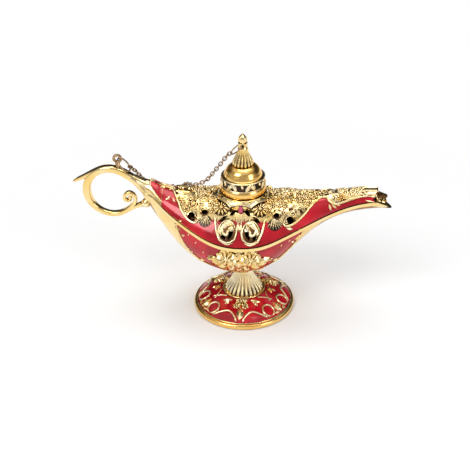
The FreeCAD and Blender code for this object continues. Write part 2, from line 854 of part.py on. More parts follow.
stud_hole = turned("stud_hole", [
    (NOTHING, size("lid_neck_z") - 0.5),
    (screw_hole_r, size("lid_neck_z") - 0.5),
    (screw_hole_r, size("lid_neck_z") + 6.5),
    (NOTHING, size("lid_neck_z") + 6.5),
])
finial_low = boolean("finial_low", "Fuse", cone, eye_neck)
finial_all = boolean("finial_all", "Fuse", finial_low, bud)
finial = keep(boolean("lid_finial", "Cut", finial_all, stud_hole))

stud_under_z = size("lid_neck_z") - lid_wall
finial_screw = keep(turned("finial_screw", [
    (NOTHING, stud_under_z - 1.8),
    (size("screw_head_r") - 1.0, stud_under_z - 1.8),
    (size("screw_head_r") - 0.4, stud_under_z - 1.2),
    (size("screw_head_r") - 0.4, stud_under_z),
    (size("screw_r"), stud_under_z),
    (size("screw_r"), size("lid_neck_z") + 5.6),
    (size("screw_r") - 0.6, size("lid_neck_z") + 6.2),
    (NOTHING, size("lid_neck_z") + 6.2),
]))

# handle: a tapering bar bent to a loop with an inward curl

def bar(stations):
    """A bar of rounded section through (point, heading, thickness, width) stations in the
    middle plane."""
    wires = []
    for point, heading, thick, wide in stations:
        out = Vector(-heading.z, 0, heading.x)
        corner = 0.32 * min(thick, wide)
        a = thick / 2
        b = wide / 2
        flat_a = a - corner
        flat_b = b - corner
        ring = []
        for sign_a, sign_b, start in ((1, 1, 0), (-1, 1, 1), (-1, -1, 2), (1, -1, 3)):
            for half in (0, 1, 2):
                angle = math.pi / 2 * (start + half / 2)
                ring.append(point + out * (sign_a * flat_a + corner * math.cos(angle))
                            + Vector(0, sign_b * flat_b + corner * math.sin(angle), 0))
        curve = Part.BSplineCurve()
        curve.interpolate(ring, PeriodicFlag=True)
        wires.append(Part.Wire([curve.toShape()]))
    return Part.makeLoft(wires, True, False)


def walk(points):
    """Points with their headings along a smooth line through them."""
    line = Part.BSplineCurve()
    line.interpolate(points)
    places = []
    for point in points:
        parameter = line.parameter(point)
        heading = line.tangent(parameter)[0]
        heading.normalize()
        places.append((point, heading))
    return places


loop_c = Vector(length_of("loop_x"), 0, length_of("loop_z"))
loop_r = length_of("loop_r")
root_x = length_of("root_x")


def round_loop(degrees, radius=loop_r):
    angle = math.radians(degrees)
    return loop_c + Vector(radius * math.cos(angle), 0, radius * math.sin(angle))


curl_c = Vector(length_of("curl_x"), 0, length_of("curl_z"))


def round_curl(degrees, radius):
    angle = math.radians(degrees)
    return curl_c + Vector(radius * math.cos(angle), 0, radius * math.sin(angle))


top_t = length_of("loop_top_t")
side_t = length_of("loop_side_t")
low_t = length_of("loop_low_t")
curl_t = length_of("curl_t")
loop_w = length_of("loop_w")
low_w = length_of("loop_low_w")
curl_w = length_of("curl_w")
neck_way = Vector(math.cos(math.radians(148)), 0, math.sin(math.radians(148)))
band_start = round_loop(58) - neck_way * 14.0
loop_points = [
    (band_start, top_t + 0.6, loop_w),
    (round_loop(58) - neck_way * 6.0, top_t + 0.4, loop_w),
    (round_loop(60), top_t, loop_w),
    (round_loop(90), top_t, loop_w),
    (round_loop(125), top_t + 0.2, loop_w),
    (round_loop(155), side_t, loop_w),
    (round_loop(185), side_t, loop_w),
    (round_loop(215), 0.5 * (side_t + low_t), 0.5 * (loop_w + low_w)),
    (round_loop(245), low_t + 0.2, low_w),
    (round_loop(275), low_t, low_w),
    (round_loop(305, loop_r - 0.3), low_t, low_w),
    (round_curl(-60, 5.6), curl_t + 0.4, curl_w),
    (round_curl(-10, 4.6), curl_t + 0.2, curl_w),
    (round_curl(50, 3.9), curl_t, curl_w),
    (round_curl(110, 3.4), curl_t, curl_w),
    (round_curl(175, 3.0), curl_t - 0.2, curl_w),
    (round_curl(240, 2.4), curl_t - 0.6, curl_w - 0.4),
    (round_curl(310, 1.7), curl_t - 0.8, curl_w - 0.6),
]
places = walk([item[0] for item in loop_points])
loop_bar = bar([(point, heading, item[1], item[2])
                for (point, heading), item in zip(places, loop_points)])

spur_points = [
    (round_loop(118, loop_r + 0.4), 3.6, loop_w - 1.0),
    (round_loop(138, loop_r + 1.8), 3.2, loop_w - 1.2),
    (round_loop(152, loop_r + 4.4), 2.6, loop_w - 1.8),
    (round_loop(160.5, loop_r + 7.2), 2.0, loop_w - 2.4),
    (round_loop(165, loop_r + 9.2), 1.2, loop_w - 3.2),
]
spur_places = walk([item[0] for item in spur_points])
spur_bar = bar([(point, heading, item[1], item[2])
                for (point, heading), item in zip(spur_places, spur_points)])

branch_points = [
    (round_loop(300), low_t - 0.4, low_w - 0.4),
    (loop_c + Vector(14.8, 0, -11.2), low_t - 0.6, low_w - 0.6),
    (loop_c + Vector(19.7, 0, -9.0), low_t - 0.2, low_w),
    (loop_c + Vector(23.6, 0, -7.8), low_t + 0.8, low_w + 0.6),
]
branch_places = walk([item[0] for item in branch_points])
branch_bar = bar([(point, heading, item[1], item[2])
                  for (point, heading), item in zip(branch_places, branch_points)])


def lens_wire(x, half, low, middle, high):
    """Closed section of two arcs in a plane across x."""
    right = Vector(x, half, middle)
    left = Vector(x, -half, middle)
    over = Part.Arc(right, Vector(x, 0, high), left).toShape()
    under = Part.Arc(left, Vector(x, 0, low), right).toShape()
    return Part.Wire([over, under])


root_half = length_of("st0_half")
root_mid = length_of("st0_rim")
root_low = length_of("st0_keel")
root_high = length_of("st0_crown")
root_wires = [lens_wire(root_x, root_half, root_low, root_mid, root_high)]
for number in range(len(ROOT_STATIONS)):
    x, half, middle, low, high = [length_of("root%d_%s" % (number, field)) for field in ROOT_FIELDS]
    root_wires.append(lens_wire(x, half, low, middle, high))
root = Part.makeLoft(root_wires, True, False)
lump_r = length_of("lump_r")
lump = Part.makeSphere(lump_r, Vector(root_x - lump_r - 0.2, 0, root_low + 1.4))
curl_ball = Part.makeSphere(1.5, round_curl(330, 0.9))
handle_shape = loop_bar.fuse([spur_bar, branch_bar, root, lump, curl_ball])
handle = doc.addObject("Part::Feature", "handle")
handle.Label = "handle"
handle.Shape = handle_shape
keep(handle)

# the cast lug on the handle that holds the chain

lug_c = Vector(length_of("lug_x"), 0, length_of("lug_z"))
lug_r = length_of("lug_r")
lug_wire = length_of("lug_wire")
lug_face = lug_c - Vector(0, lug_wire, 0)
lug_disc = Part.makeCylinder(lug_r + lug_wire, 2 * lug_wire, lug_face, Vector(0, 1, 0))
lug_bore = Part.makeCylinder(lug_r - lug_wire, 2 * lug_wire, lug_face, Vector(0, 1, 0))
lug_ring = lug_disc.cut(lug_bore)
lug_ring = lug_ring.makeFillet(0.5 * lug_wire, [edge for edge in lug_ring.Edges if edge.isClosed()])
lug_post = Part.makeCylinder(1.5, 5.0, lug_c - Vector(0, 0, lug_r + 4.6), Vector(0, 0, 1))
lug_shape = lug_ring.fuse(lug_post)
lug_shape = lug_shape.cut(handle.Shape)
lug = doc.addObject("Part::Feature", "handle_lug")
lug.Label = "handle_lug"
lug.Shape = max(lug_shape.Solids, key=lambda solid: solid.Volume)
keep(lug)

# chain: interlocked wire links along two hanging lines

wire_r = length_of("link_wire") / 2
link_in_l = length_of("link_in_l")
link_in_w = length_of("link_in_w")
pitch = link_in_l - length_of("link_play")


def link_solid():
    """A wire link with straight sides, its long axis on x and its plane on xy."""
    bend = link_in_w / 2 + wire_r
    straight = link_in_l / 2 - link_in_w / 2
    right = Part.Arc(Vector(straight, -bend, 0), Vector(straight + bend, 0, 0),
                     Vector(straight, bend, 0)).toShape()
    left = Part.Arc(Vector(-straight, bend, 0), Vector(-straight - bend, 0, 0),
                    Vector(-straight, -bend, 0)).toShape()
    top = Part.makeLine(Vector(straight, bend, 0), Vector(-straight, bend, 0))
    low = Part.makeLine(Vector(-straight, -bend, 0), Vector(straight, -bend, 0))
    circle = Part.Wire([Part.makeCircle(wire_r, Vector(0, -bend, 0), Vector(1, 0, 0))])
    path = Part.Wire([low, right, top, left])
    return path.makePipeShell([circle], True, False)


def chain_links(points, first_wire, last_normal):
    """Links along a smooth line, each about a quarter turn against the one before it.  The
    first link faces along first_wire, the ring wire it hangs on; the last one stands on
    edge to last_normal, the axis of the ring it holds."""
    line = Part.BSplineCurve()
    line.interpolate(points)
    edge = line.toShape()
    count = int(round(edge.Length / pitch))
    step = edge.Length / count
    frames = []
    for number in range(count):
        parameter = edge.getParameterByLength(step * (number + 0.5))
        along = edge.tangentAt(parameter)
        along.normalize()
        across = Vector(0, 1, 0) - along * along.y
        across.normalize()
        frames.append((edge.valueAt(parameter), along, across, along.cross(across)))
    across, up = frames[0][2:]
    first_turn = math.atan2(-first_wire.dot(across), first_wire.dot(up))
    across, up = frames[-1][2:]
    last_turn = math.atan2(last_normal.dot(up), last_normal.dot(across))
    quarter_turns = (count - 1) * math.pi / 2
    halves = round((first_turn + quarter_turns - last_turn) / math.pi)
    twist = (last_turn + halves * math.pi - first_turn) / (count - 1)
    model = link_solid()
    links = []
    for number, (centre, along, across, up) in enumerate(frames):
        angle = first_turn + twist * number
        side = across * math.cos(angle) + up * math.sin(angle)
        normal = along.cross(side)
        frame = FreeCAD.Matrix(along.x, side.x, normal.x, centre.x,
                               along.y, side.y, normal.y, centre.y,
                               along.z, side.z, normal.z, centre.z,
                               0, 0, 0, 1)
        copy = model.copy()
        copy.Placement = Placement(frame)
        links.append(copy)
    return links


def wire_ring(centre, normal, radius, wire):
    return Part.makeTorus(radius, wire / 2, centre, normal)


def add_feature(label, shape):
    item = doc.addObject("Part::Feature", label)
    item.Label = label
    item.Shape = shape
    return keep(item)


eye_point = Vector(0, 0, eye_z)
lid_ring_r = length_of("lid_ring_r")
lid_ring_slope = math.radians(218)
lid_ring_way = Vector(math.cos(lid_ring_slope), 0, math.sin(lid_ring_slope))
lid_ring_c = eye_point + lid_ring_way * (lid_ring_r - 0.35)
lid_ring_n = Vector(-lid_ring_way.z, 0, lid_ring_way.x)
add_feature("lid_ring", wire_ring(lid_ring_c, lid_ring_n, lid_ring_r, length_of("lid_ring_wire")))

lug_ring_r = length_of("lug_ring_r")
lug_ring_slope = math.radians(-46)
lug_ring_way = Vector(math.cos(lug_ring_slope), 0, math.sin(lug_ring_slope))
lug_ring_c = lug_c + lug_ring_way * (lug_ring_r + 0.6)
lug_ring_n = Vector(-lug_ring_way.z, 0, lug_ring_way.x)
add_feature("handle_ring", wire_ring(lug_ring_c, lug_ring_n, lug_ring_r, length_of("lug_ring_wire")))

# hanging lines: from the lid ring over the crest of the cover and behind it to the joint
# ring, and from the handle ring down behind the neck to the same joint ring
WIDE = Vector(0, 1, 0)
joint_c = Vector(-49.5, 22.0, 69.4)
joint_r = length_of("joint_ring_r")
joint_wire = length_of("joint_ring_wire")
FRONT_WAY = (
    Vector(-11.0, 0.2, 112.9),
    Vector(-14.1, 0.8, 108.2),
    Vector(-17.5, 1.5, 103.5),
    Vector(-20.8, 2.2, 98.8),
    Vector(-24.2, 2.8, 94.4),
    Vector(-29.2, 3.2, 91.0),
    Vector(-34.0, 4.6, 88.9),
    Vector(-38.0, 9.2, 87.1),
    Vector(-41.6, 14.3, 83.9),
    Vector(-45.0, 18.9, 78.6),
)
REAR_WAY = (
    Vector(-74.0, 6.2, 97.6),
    Vector(-70.0, 9.6, 90.6),
    Vector(-65.5, 12.8, 83.2),
    Vector(-60.2, 16.0, 76.2),
    Vector(-55.2, 19.4, 71.4),
)


def toward(start, end):
    way = end - start
    way.normalize()
    return way


front_pull = toward(joint_c, FRONT_WAY[-1])
rear_pull = toward(joint_c, REAR_WAY[-1])
joint_n = front_pull.cross(rear_pull)
joint_n.normalize()

lid_hook = lid_ring_c + lid_ring_way * lid_ring_r
lid_wire_r = length_of("lid_ring_wire") / 2
front_start = lid_hook - toward(lid_hook, FRONT_WAY[0]) * lid_wire_r
front_end = joint_c + front_pull * (joint_r - joint_wire / 2)
add_feature("chain_front", Part.makeCompound(
    chain_links([front_start] + list(FRONT_WAY) + [front_end], WIDE, joint_n)))

hook_turn = math.radians(40)
lug_hook = lug_ring_c + (lug_ring_way * math.cos(hook_turn) + WIDE * math.sin(hook_turn)) * lug_ring_r
lug_hook_wire = WIDE * math.cos(hook_turn) - lug_ring_way * math.sin(hook_turn)
lug_wire_r = length_of("lug_ring_wire") / 2
rear_start = lug_hook - toward(lug_hook, REAR_WAY[0]) * lug_wire_r
rear_end = joint_c + rear_pull * (joint_r - 0.8)
add_feature("chain_rear", Part.makeCompound(
    chain_links([rear_start] + list(REAR_WAY) + [rear_end], lug_hook_wire, joint_n)))
add_feature("chain_joint_ring", wire_ring(joint_c, joint_n, joint_r, joint_wire))

doc.recompute()

faults = []
for item in doc.Objects:
    if "Invalid" in item.State or "Error" in item.State:
        faults.append("%s %s" % (item.Label, item.State))
for item in pieces:
    shape = item.Shape
    if shape.isNull() or not shape.isValid() or not shape.Solids:
        faults.append("%s has no valid solid" % item.Label)
if faults:
    raise RuntimeError("; ".join(faults))

os.makedirs("parts", exist_ok=True)
for item in pieces:
    item.Shape.exportStep("parts/%s.step" % item.Label)
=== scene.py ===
"""Looks of a footed ornamental oil lamp: gilt metal, red enamel and applied relief.

The ornament is laid on the surfaces of the construction by casting rays on them, so every
place below is given in millimetres in the shared frame: front-view (x, z) on the hull,
plan (x, y) on the cover, and (radius, angle) on the foot and lid.
"""

import math
import random

import bpy
from mathutils import Matrix, Vector
from mathutils.bvhtree import BVHTree


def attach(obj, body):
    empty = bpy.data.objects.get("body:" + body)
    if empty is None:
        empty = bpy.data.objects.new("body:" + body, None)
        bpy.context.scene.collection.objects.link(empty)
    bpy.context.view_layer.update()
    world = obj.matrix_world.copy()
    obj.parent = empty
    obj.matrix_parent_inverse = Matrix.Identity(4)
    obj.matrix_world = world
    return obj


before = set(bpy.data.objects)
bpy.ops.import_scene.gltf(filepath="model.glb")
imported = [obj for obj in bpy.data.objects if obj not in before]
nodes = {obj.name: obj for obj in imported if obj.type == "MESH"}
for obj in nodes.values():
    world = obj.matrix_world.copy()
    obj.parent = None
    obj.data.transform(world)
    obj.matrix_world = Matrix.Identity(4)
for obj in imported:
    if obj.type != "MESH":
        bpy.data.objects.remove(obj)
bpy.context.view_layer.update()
scene = bpy.context.scene
MM = 0.001
FRONT_AND_BACK = (-1, 1)
LEFT_AND_RIGHT = (-1, 1)


# materials

class Shader:
    """A material with short helpers for its nodes."""

    def __init__(self, name):
        self.material = bpy.data.materials.new(name)
        self.material.use_nodes = True
        self.tree = self.material.node_tree
        self.surface = self.tree.nodes["Principled BSDF"]
        self.places = self.node("ShaderNodeTexCoord").outputs["Object"]

    def node(self, kind, **inputs):
        made = self.tree.nodes.new(kind)
        for name, value in inputs.items():
            self.put(made, name.replace("_", " "), value)
        return made

    def put(self, target, name, value):
        socket = target.inputs[name]
        if isinstance(value, bpy.types.NodeSocket):
            self.tree.links.new(value, socket)
        else:
            socket.default_value = value

    def noise(self, scale, detail=3.0):
        made = self.node("ShaderNodeTexNoise", Scale=scale, Detail=detail)
        self.put(made, "Vector", self.places)
        return made.outputs["Fac"]

    def range(self, value, low, high, start=0.35, end=0.65):
        made = self.node("ShaderNodeMapRange", Value=value)
        self.put(made, "From Min", start)
        self.put(made, "From Max", end)
        self.put(made, "To Min", low)
        self.put(made, "To Max", high)
        return made.outputs["Result"]

    def mix(self, share, first, second):
        made = self.tree.nodes.new("ShaderNodeMix")
        made.data_type = "RGBA"
        self.put(made, "Factor", share)
        for socket, value in ((made.inputs[6], first), (made.inputs[7], second)):
            if isinstance(value, bpy.types.NodeSocket):
                self.tree.links.new(value, socket)
            else:
                socket.default_value = (*value, 1.0)
        return made.outputs[2]

    def math(self, kind, first, second):
        made = self.tree.nodes.new("ShaderNodeMath")
        made.operation = kind
        for socket, value in zip(made.inputs, (first, second)):
            if isinstance(value, bpy.types.NodeSocket):
                self.tree.links.new(value, socket)
            else:
                socket.default_value = value
        return made.outputs[0]

    def hollow(self, reach):
        """1 close to other surfaces, in grooves and between the relief, and 0 in the open."""
        made = self.node("ShaderNodeAmbientOcclusion", Distance=reach)
        made.samples = 6
        return self.range(made.outputs["AO"], 1.0, 0.0, 0.30, 0.85)

    def grooves(self, count):
        """1 in the grooves of flutes round the z axis, the first crest of which is on +x."""
        where = self.node("ShaderNodeSeparateXYZ", Vector=self.places)
        angle = self.math("ARCTAN2", where.outputs["Y"], where.outputs["X"])
        wave = self.math("COSINE", self.math("MULTIPLY", angle, count), 0.0)
        return self.range(wave, 1.0, 0.0, -0.75, 0.05)

    def above(self, low, high):
        """0 below one height in millimetres and 1 above another."""
        where = self.node("ShaderNodeSeparateXYZ", Vector=self.places)
        return self.range(where.outputs["Z"], 0.0, 1.0, low * MM, high * MM)

    def beyond(self, low, high):
        """0 left of one front-view place in millimetres and 1 right of another."""
        where = self.node("ShaderNodeSeparateXYZ", Vector=self.places)
        return self.range(where.outputs["X"], 0.0, 1.0, low * MM, high * MM)

    def inside(self):
        """1 on the inner faces of the hull, whose normals point at its middle line."""
        spot = self.node("ShaderNodeNewGeometry")
        where = self.node("ShaderNodeSeparateXYZ", Vector=spot.outputs["Position"])
        facing = self.node("ShaderNodeSeparateXYZ", Vector=spot.outputs["Normal"])
        sideways = self.math("MULTIPLY", where.outputs["Y"], facing.outputs["Y"])
        height = self.math("SUBTRACT", where.outputs["Z"], 70 * MM)
        upward = self.math("MULTIPLY", height, facing.outputs["Z"])
        return self.math("LESS_THAN", self.math("ADD", sideways, upward), 5 * MM)

    def bump(self, height, strength, depth):
        made = self.node("ShaderNodeBump", Height=height, Strength=strength, Distance=depth)
        self.put(self.surface, "Normal", made.outputs["Normal"])


GOLD = (0.93, 0.65, 0.23)
PALE_GOLD = (0.98, 0.80, 0.45)
BROWN = (0.055, 0.020, 0.007)
SPECKS_LOW = 79.0
SPECKS_END = -55.0


def gold(name, base=GOLD, worn=PALE_GOLD, rough=(0.13, 0.26), groove=1.6, grain=0.10):
    """Polished gilt casting: paler on worn patches, and brown in grooves and between the relief, partly as
    polish left there and partly as painted shade.
    """
    shader = Shader(name)
    worn_share = shader.range(shader.noise(95.0), 0.0, 0.7)
    colour = shader.mix(worn_share, base, worn)
    # painted shade: brown mixed in close to other surfaces, in grooves and between the relief, partly
    # standing for polish left in the grooves
    colour = shader.mix(shader.hollow(groove * MM), colour, BROWN)
    shader.put(shader.surface, "Base Color", colour)
    shader.surface.inputs["Metallic"].default_value = 1.0
    shader.put(shader.surface, "Roughness", shader.range(shader.noise(240.0), *rough))
    shader.bump(shader.noise(520.0, 5.0), grain, 0.25 * MM)
    return shader


def fluted_gold(name, flutes, low, high, **finish):
    """Gilt flutes with painted shade in their grooves, which opens from one height down to another."""
    shader = gold(name, **finish)
    colour = shader.surface.inputs["Base Color"].links[0].from_socket
    share = shader.math("MULTIPLY", shader.grooves(flutes), shader.above(low, high))
    # painted shade: near-black in the flute grooves
    shader.put(shader.surface, "Base Color", shader.mix(share, colour, (0.02, 0.010, 0.005)))
    return shader.material


def hull_gold(name):
    """The gilt hull: speckled dark in the filigree, and unpolished brown inside."""
    shader = gold(name)
    colour = shader.surface.inputs["Base Color"].links[0].from_socket
    specks = shader.range(shader.noise(420.0, 2.0), 0.0, 1.0, 0.50, 0.58)
    specks = shader.math("MULTIPLY", specks, shader.above(SPECKS_LOW, SPECKS_LOW + 3))
    specks = shader.math("MULTIPLY", specks, shader.beyond(SPECKS_END, SPECKS_END + 4))
    colour = shader.mix(specks, colour, BROWN)
    inside = shader.inside()
    soot = shader.mix(shader.range(shader.noise(160.0), 0.0, 1.0), (0.26, 0.11, 0.04), (0.46, 0.22, 0.08))
    shader.put(shader.surface, "Base Color", shader.mix(inside, colour, soot))
    return shader.material


def enamel(name, deep, bright):
    """Glossy translucent enamel that pools darker in places, with painted shade next to the relief."""
    shader = Shader(name)
    pooled = shader.range(shader.noise(55.0, 2.0), 0.0, 1.0)
    colour = shader.mix(pooled, deep, bright)
    # painted shade: near-black red close to the relief and in hollows
    colour = shader.mix(shader.hollow(1.2 * MM), colour, (0.10, 0.002, 0.004))
    shader.put(shader.surface, "Base Color", colour)
    shader.surface.inputs["Metallic"].default_value = 0.15
    shader.put(shader.surface, "Roughness", shader.range(shader.noise(190.0), 0.10, 0.22))
    shader.surface.inputs["Coat Weight"].default_value = 0.4
    shader.surface.inputs["Specular IOR Level"].default_value = 0.35
    shader.surface.inputs["Coat Roughness"].default_value = 0.04
    shader.bump(shader.noise(110.0), 0.12, 0.4 * MM)
    return shader.material


def dull(name, colour, other, rough):
    """A plain unpolished surface with mottled colour."""
    shader = Shader(name)
    shader.put(shader.surface, "Base Color",
               shader.mix(shader.range(shader.noise(150.0), 0.0, 1.0), colour, other))
    shader.surface.inputs["Metallic"].default_value = 0.6
    shader.put(shader.surface, "Roughness", shader.range(shader.noise(260.0), *rough))
    shader.bump(shader.noise(420.0), 0.15, 0.2 * MM)
    return shader.material


cast_gold = gold("cast_gold").material
bright_gold = gold("bright_gold", worn=(1.0, 0.86, 0.56), rough=(0.16, 0.30), groove=1.1).material
smooth_gold = gold("smooth_gold", rough=(0.07, 0.16), groove=1.2, grain=0.03).material
pale_gold = gold("pale_gold", base=(1.0, 0.78, 0.40), worn=(1.0, 0.90, 0.64), rough=(0.22, 0.36),
                 groove=0.5).material
warm_gold = gold("warm_gold", base=(0.98, 0.56, 0.14), worn=(1.0, 0.70, 0.27), rough=(0.12, 0.22),
                 groove=1.6, grain=0.04).material
# painted light: the stem gets a paler, brighter copy of the gold, with a shorter reach of painted shade, to
# make up for the shade it stands in
stem_gold = fluted_gold("stem_gold", 24, 21.0, 15.0, base=(1.0, 0.80, 0.46), worn=(1.0, 0.88, 0.60),
                        rough=(0.24, 0.38), groove=0.5)
cone_gold = fluted_gold("cone_gold", 16, 118.0, 110.0, rough=(0.12, 0.22), groove=0.9)
chain_gold = gold("chain_gold", base=(0.34, 0.20, 0.10), worn=(0.60, 0.42, 0.22),
                  rough=(0.20, 0.36), groove=1.8).material
shell_gold = hull_gold("shell_gold")
red_enamel = enamel("red_enamel", (0.34, 0.002, 0.008), (0.62, 0.008, 0.022))
stone = enamel("stone", (0.50, 0.02, 0.09), (0.80, 0.16, 0.28))
# near black: the painted shadows under relief, the painted reflection on the handle top, and the dark
# ground of the lid band
near_black = dull("near_black", (0.012, 0.007, 0.004), (0.05, 0.022, 0.010), (0.25, 0.5))
# dull brown: the cover's scroll pieces, and the rings of painted shade round the eyes
dull_brown = dull("dull_brown", (0.085, 0.032, 0.010), (0.17, 0.075, 0.024), (0.3, 0.5))
steel = dull("steel", (0.55, 0.54, 0.52), (0.40, 0.39, 0.37), (0.22, 0.42))

NODE_MATERIALS = {
    "foot": warm_gold,
    "stem": stem_gold,
    "bowl": shell_gold,
    "cover": shell_gold,
    "rim_band": smooth_gold,
    "calyx": cast_gold,
    "bowl_flowers": cast_gold,
    "cover_scrolls": dull_brown,
    "collar": smooth_gold,
    "lid": warm_gold,
    "lid_skirt": smooth_gold,
    "lid_finial": cone_gold,
    "handle": smooth_gold,
    "handle_lug": chain_gold,
    "foot_enamel": red_enamel,
    "bowl_enamel": red_enamel,
    "cover_enamel": red_enamel,
    "gem_drops": stone,
    "foot_washer": chain_gold,
    "foot_screw": steel,
    "finial_screw": steel,
    "lid_ring": chain_gold,
    "chain_front": chain_gold,
    "chain_joint_ring": chain_gold,
    "handle_ring": chain_gold,
    "chain_rear": chain_gold,
}
for name, finish in NODE_MATERIALS.items():
    nodes[name].data.materials.clear()
    nodes[name].data.materials.append(finish)


# surfaces to lay ornament on

class Skin:
    """The faces of some construction nodes, as one surface to cast on."""

    def __init__(self, *names):
        points = []
        faces = []
        for name in names:
            mesh = nodes[name].data
            base = len(points)
            points += [vertex.co.copy() for vertex in mesh.vertices]
            faces += [[base + index for index in face.vertices] for face in mesh.polygons]
        self.tree = BVHTree.FromPolygons(points, faces)

    def near(self, point):
        place, normal, _, _ = self.tree.find_nearest(point)
        return place, normal

    def front(self, x, z, side):
        """The hull at a front-view place, seen from the front (-1) or the back (1)."""
        start = Vector((x * MM, side * 0.2, z * MM))
        place, normal, _, _ = self.tree.ray_cast(start, Vector((0, -side, 0)))
        if place is None:
            return self.near(Vector((x * MM, side * 0.001, z * MM)))
        return place, normal

    def plan(self, x, y):
        """The surface seen from above."""
        return self.tree.ray_cast(Vector((x * MM, y * MM, 0.3)), Vector((0, 0, -1)))[:2]

    def polar(self, radius, degrees):
        turn = math.radians(degrees)
        return self.plan(radius * math.cos(turn), radius * math.sin(turn))

    def around(self, height, degrees):
        """The outside at a height, seen from a direction round the z axis."""
        turn = math.radians(degrees)
        out = Vector((math.cos(turn), math.sin(turn), 0))
        start = out * 0.1 + Vector((0, 0, height * MM))
        return self.tree.ray_cast(start, -out)[:2]


def smooth(points, steps=6):
    """A smooth line through the points."""
    points = [Vector(point) for point in points]
    line = []
    for number in range(len(points) - 1):
        before = points[max(number - 1, 0)]
        start = points[number]
        end = points[number + 1]
        after = points[min(number + 2, len(points) - 1)]
        for step in range(steps):
            t = step / steps
            line.append(0.5 * (2 * start + (end - before) * t
                               + (2 * before - 5 * start + 4 * end - after) * t ** 2
                               + (3 * start - before - 3 * end + after) * t ** 3))
    line.append(points[-1])
    return line


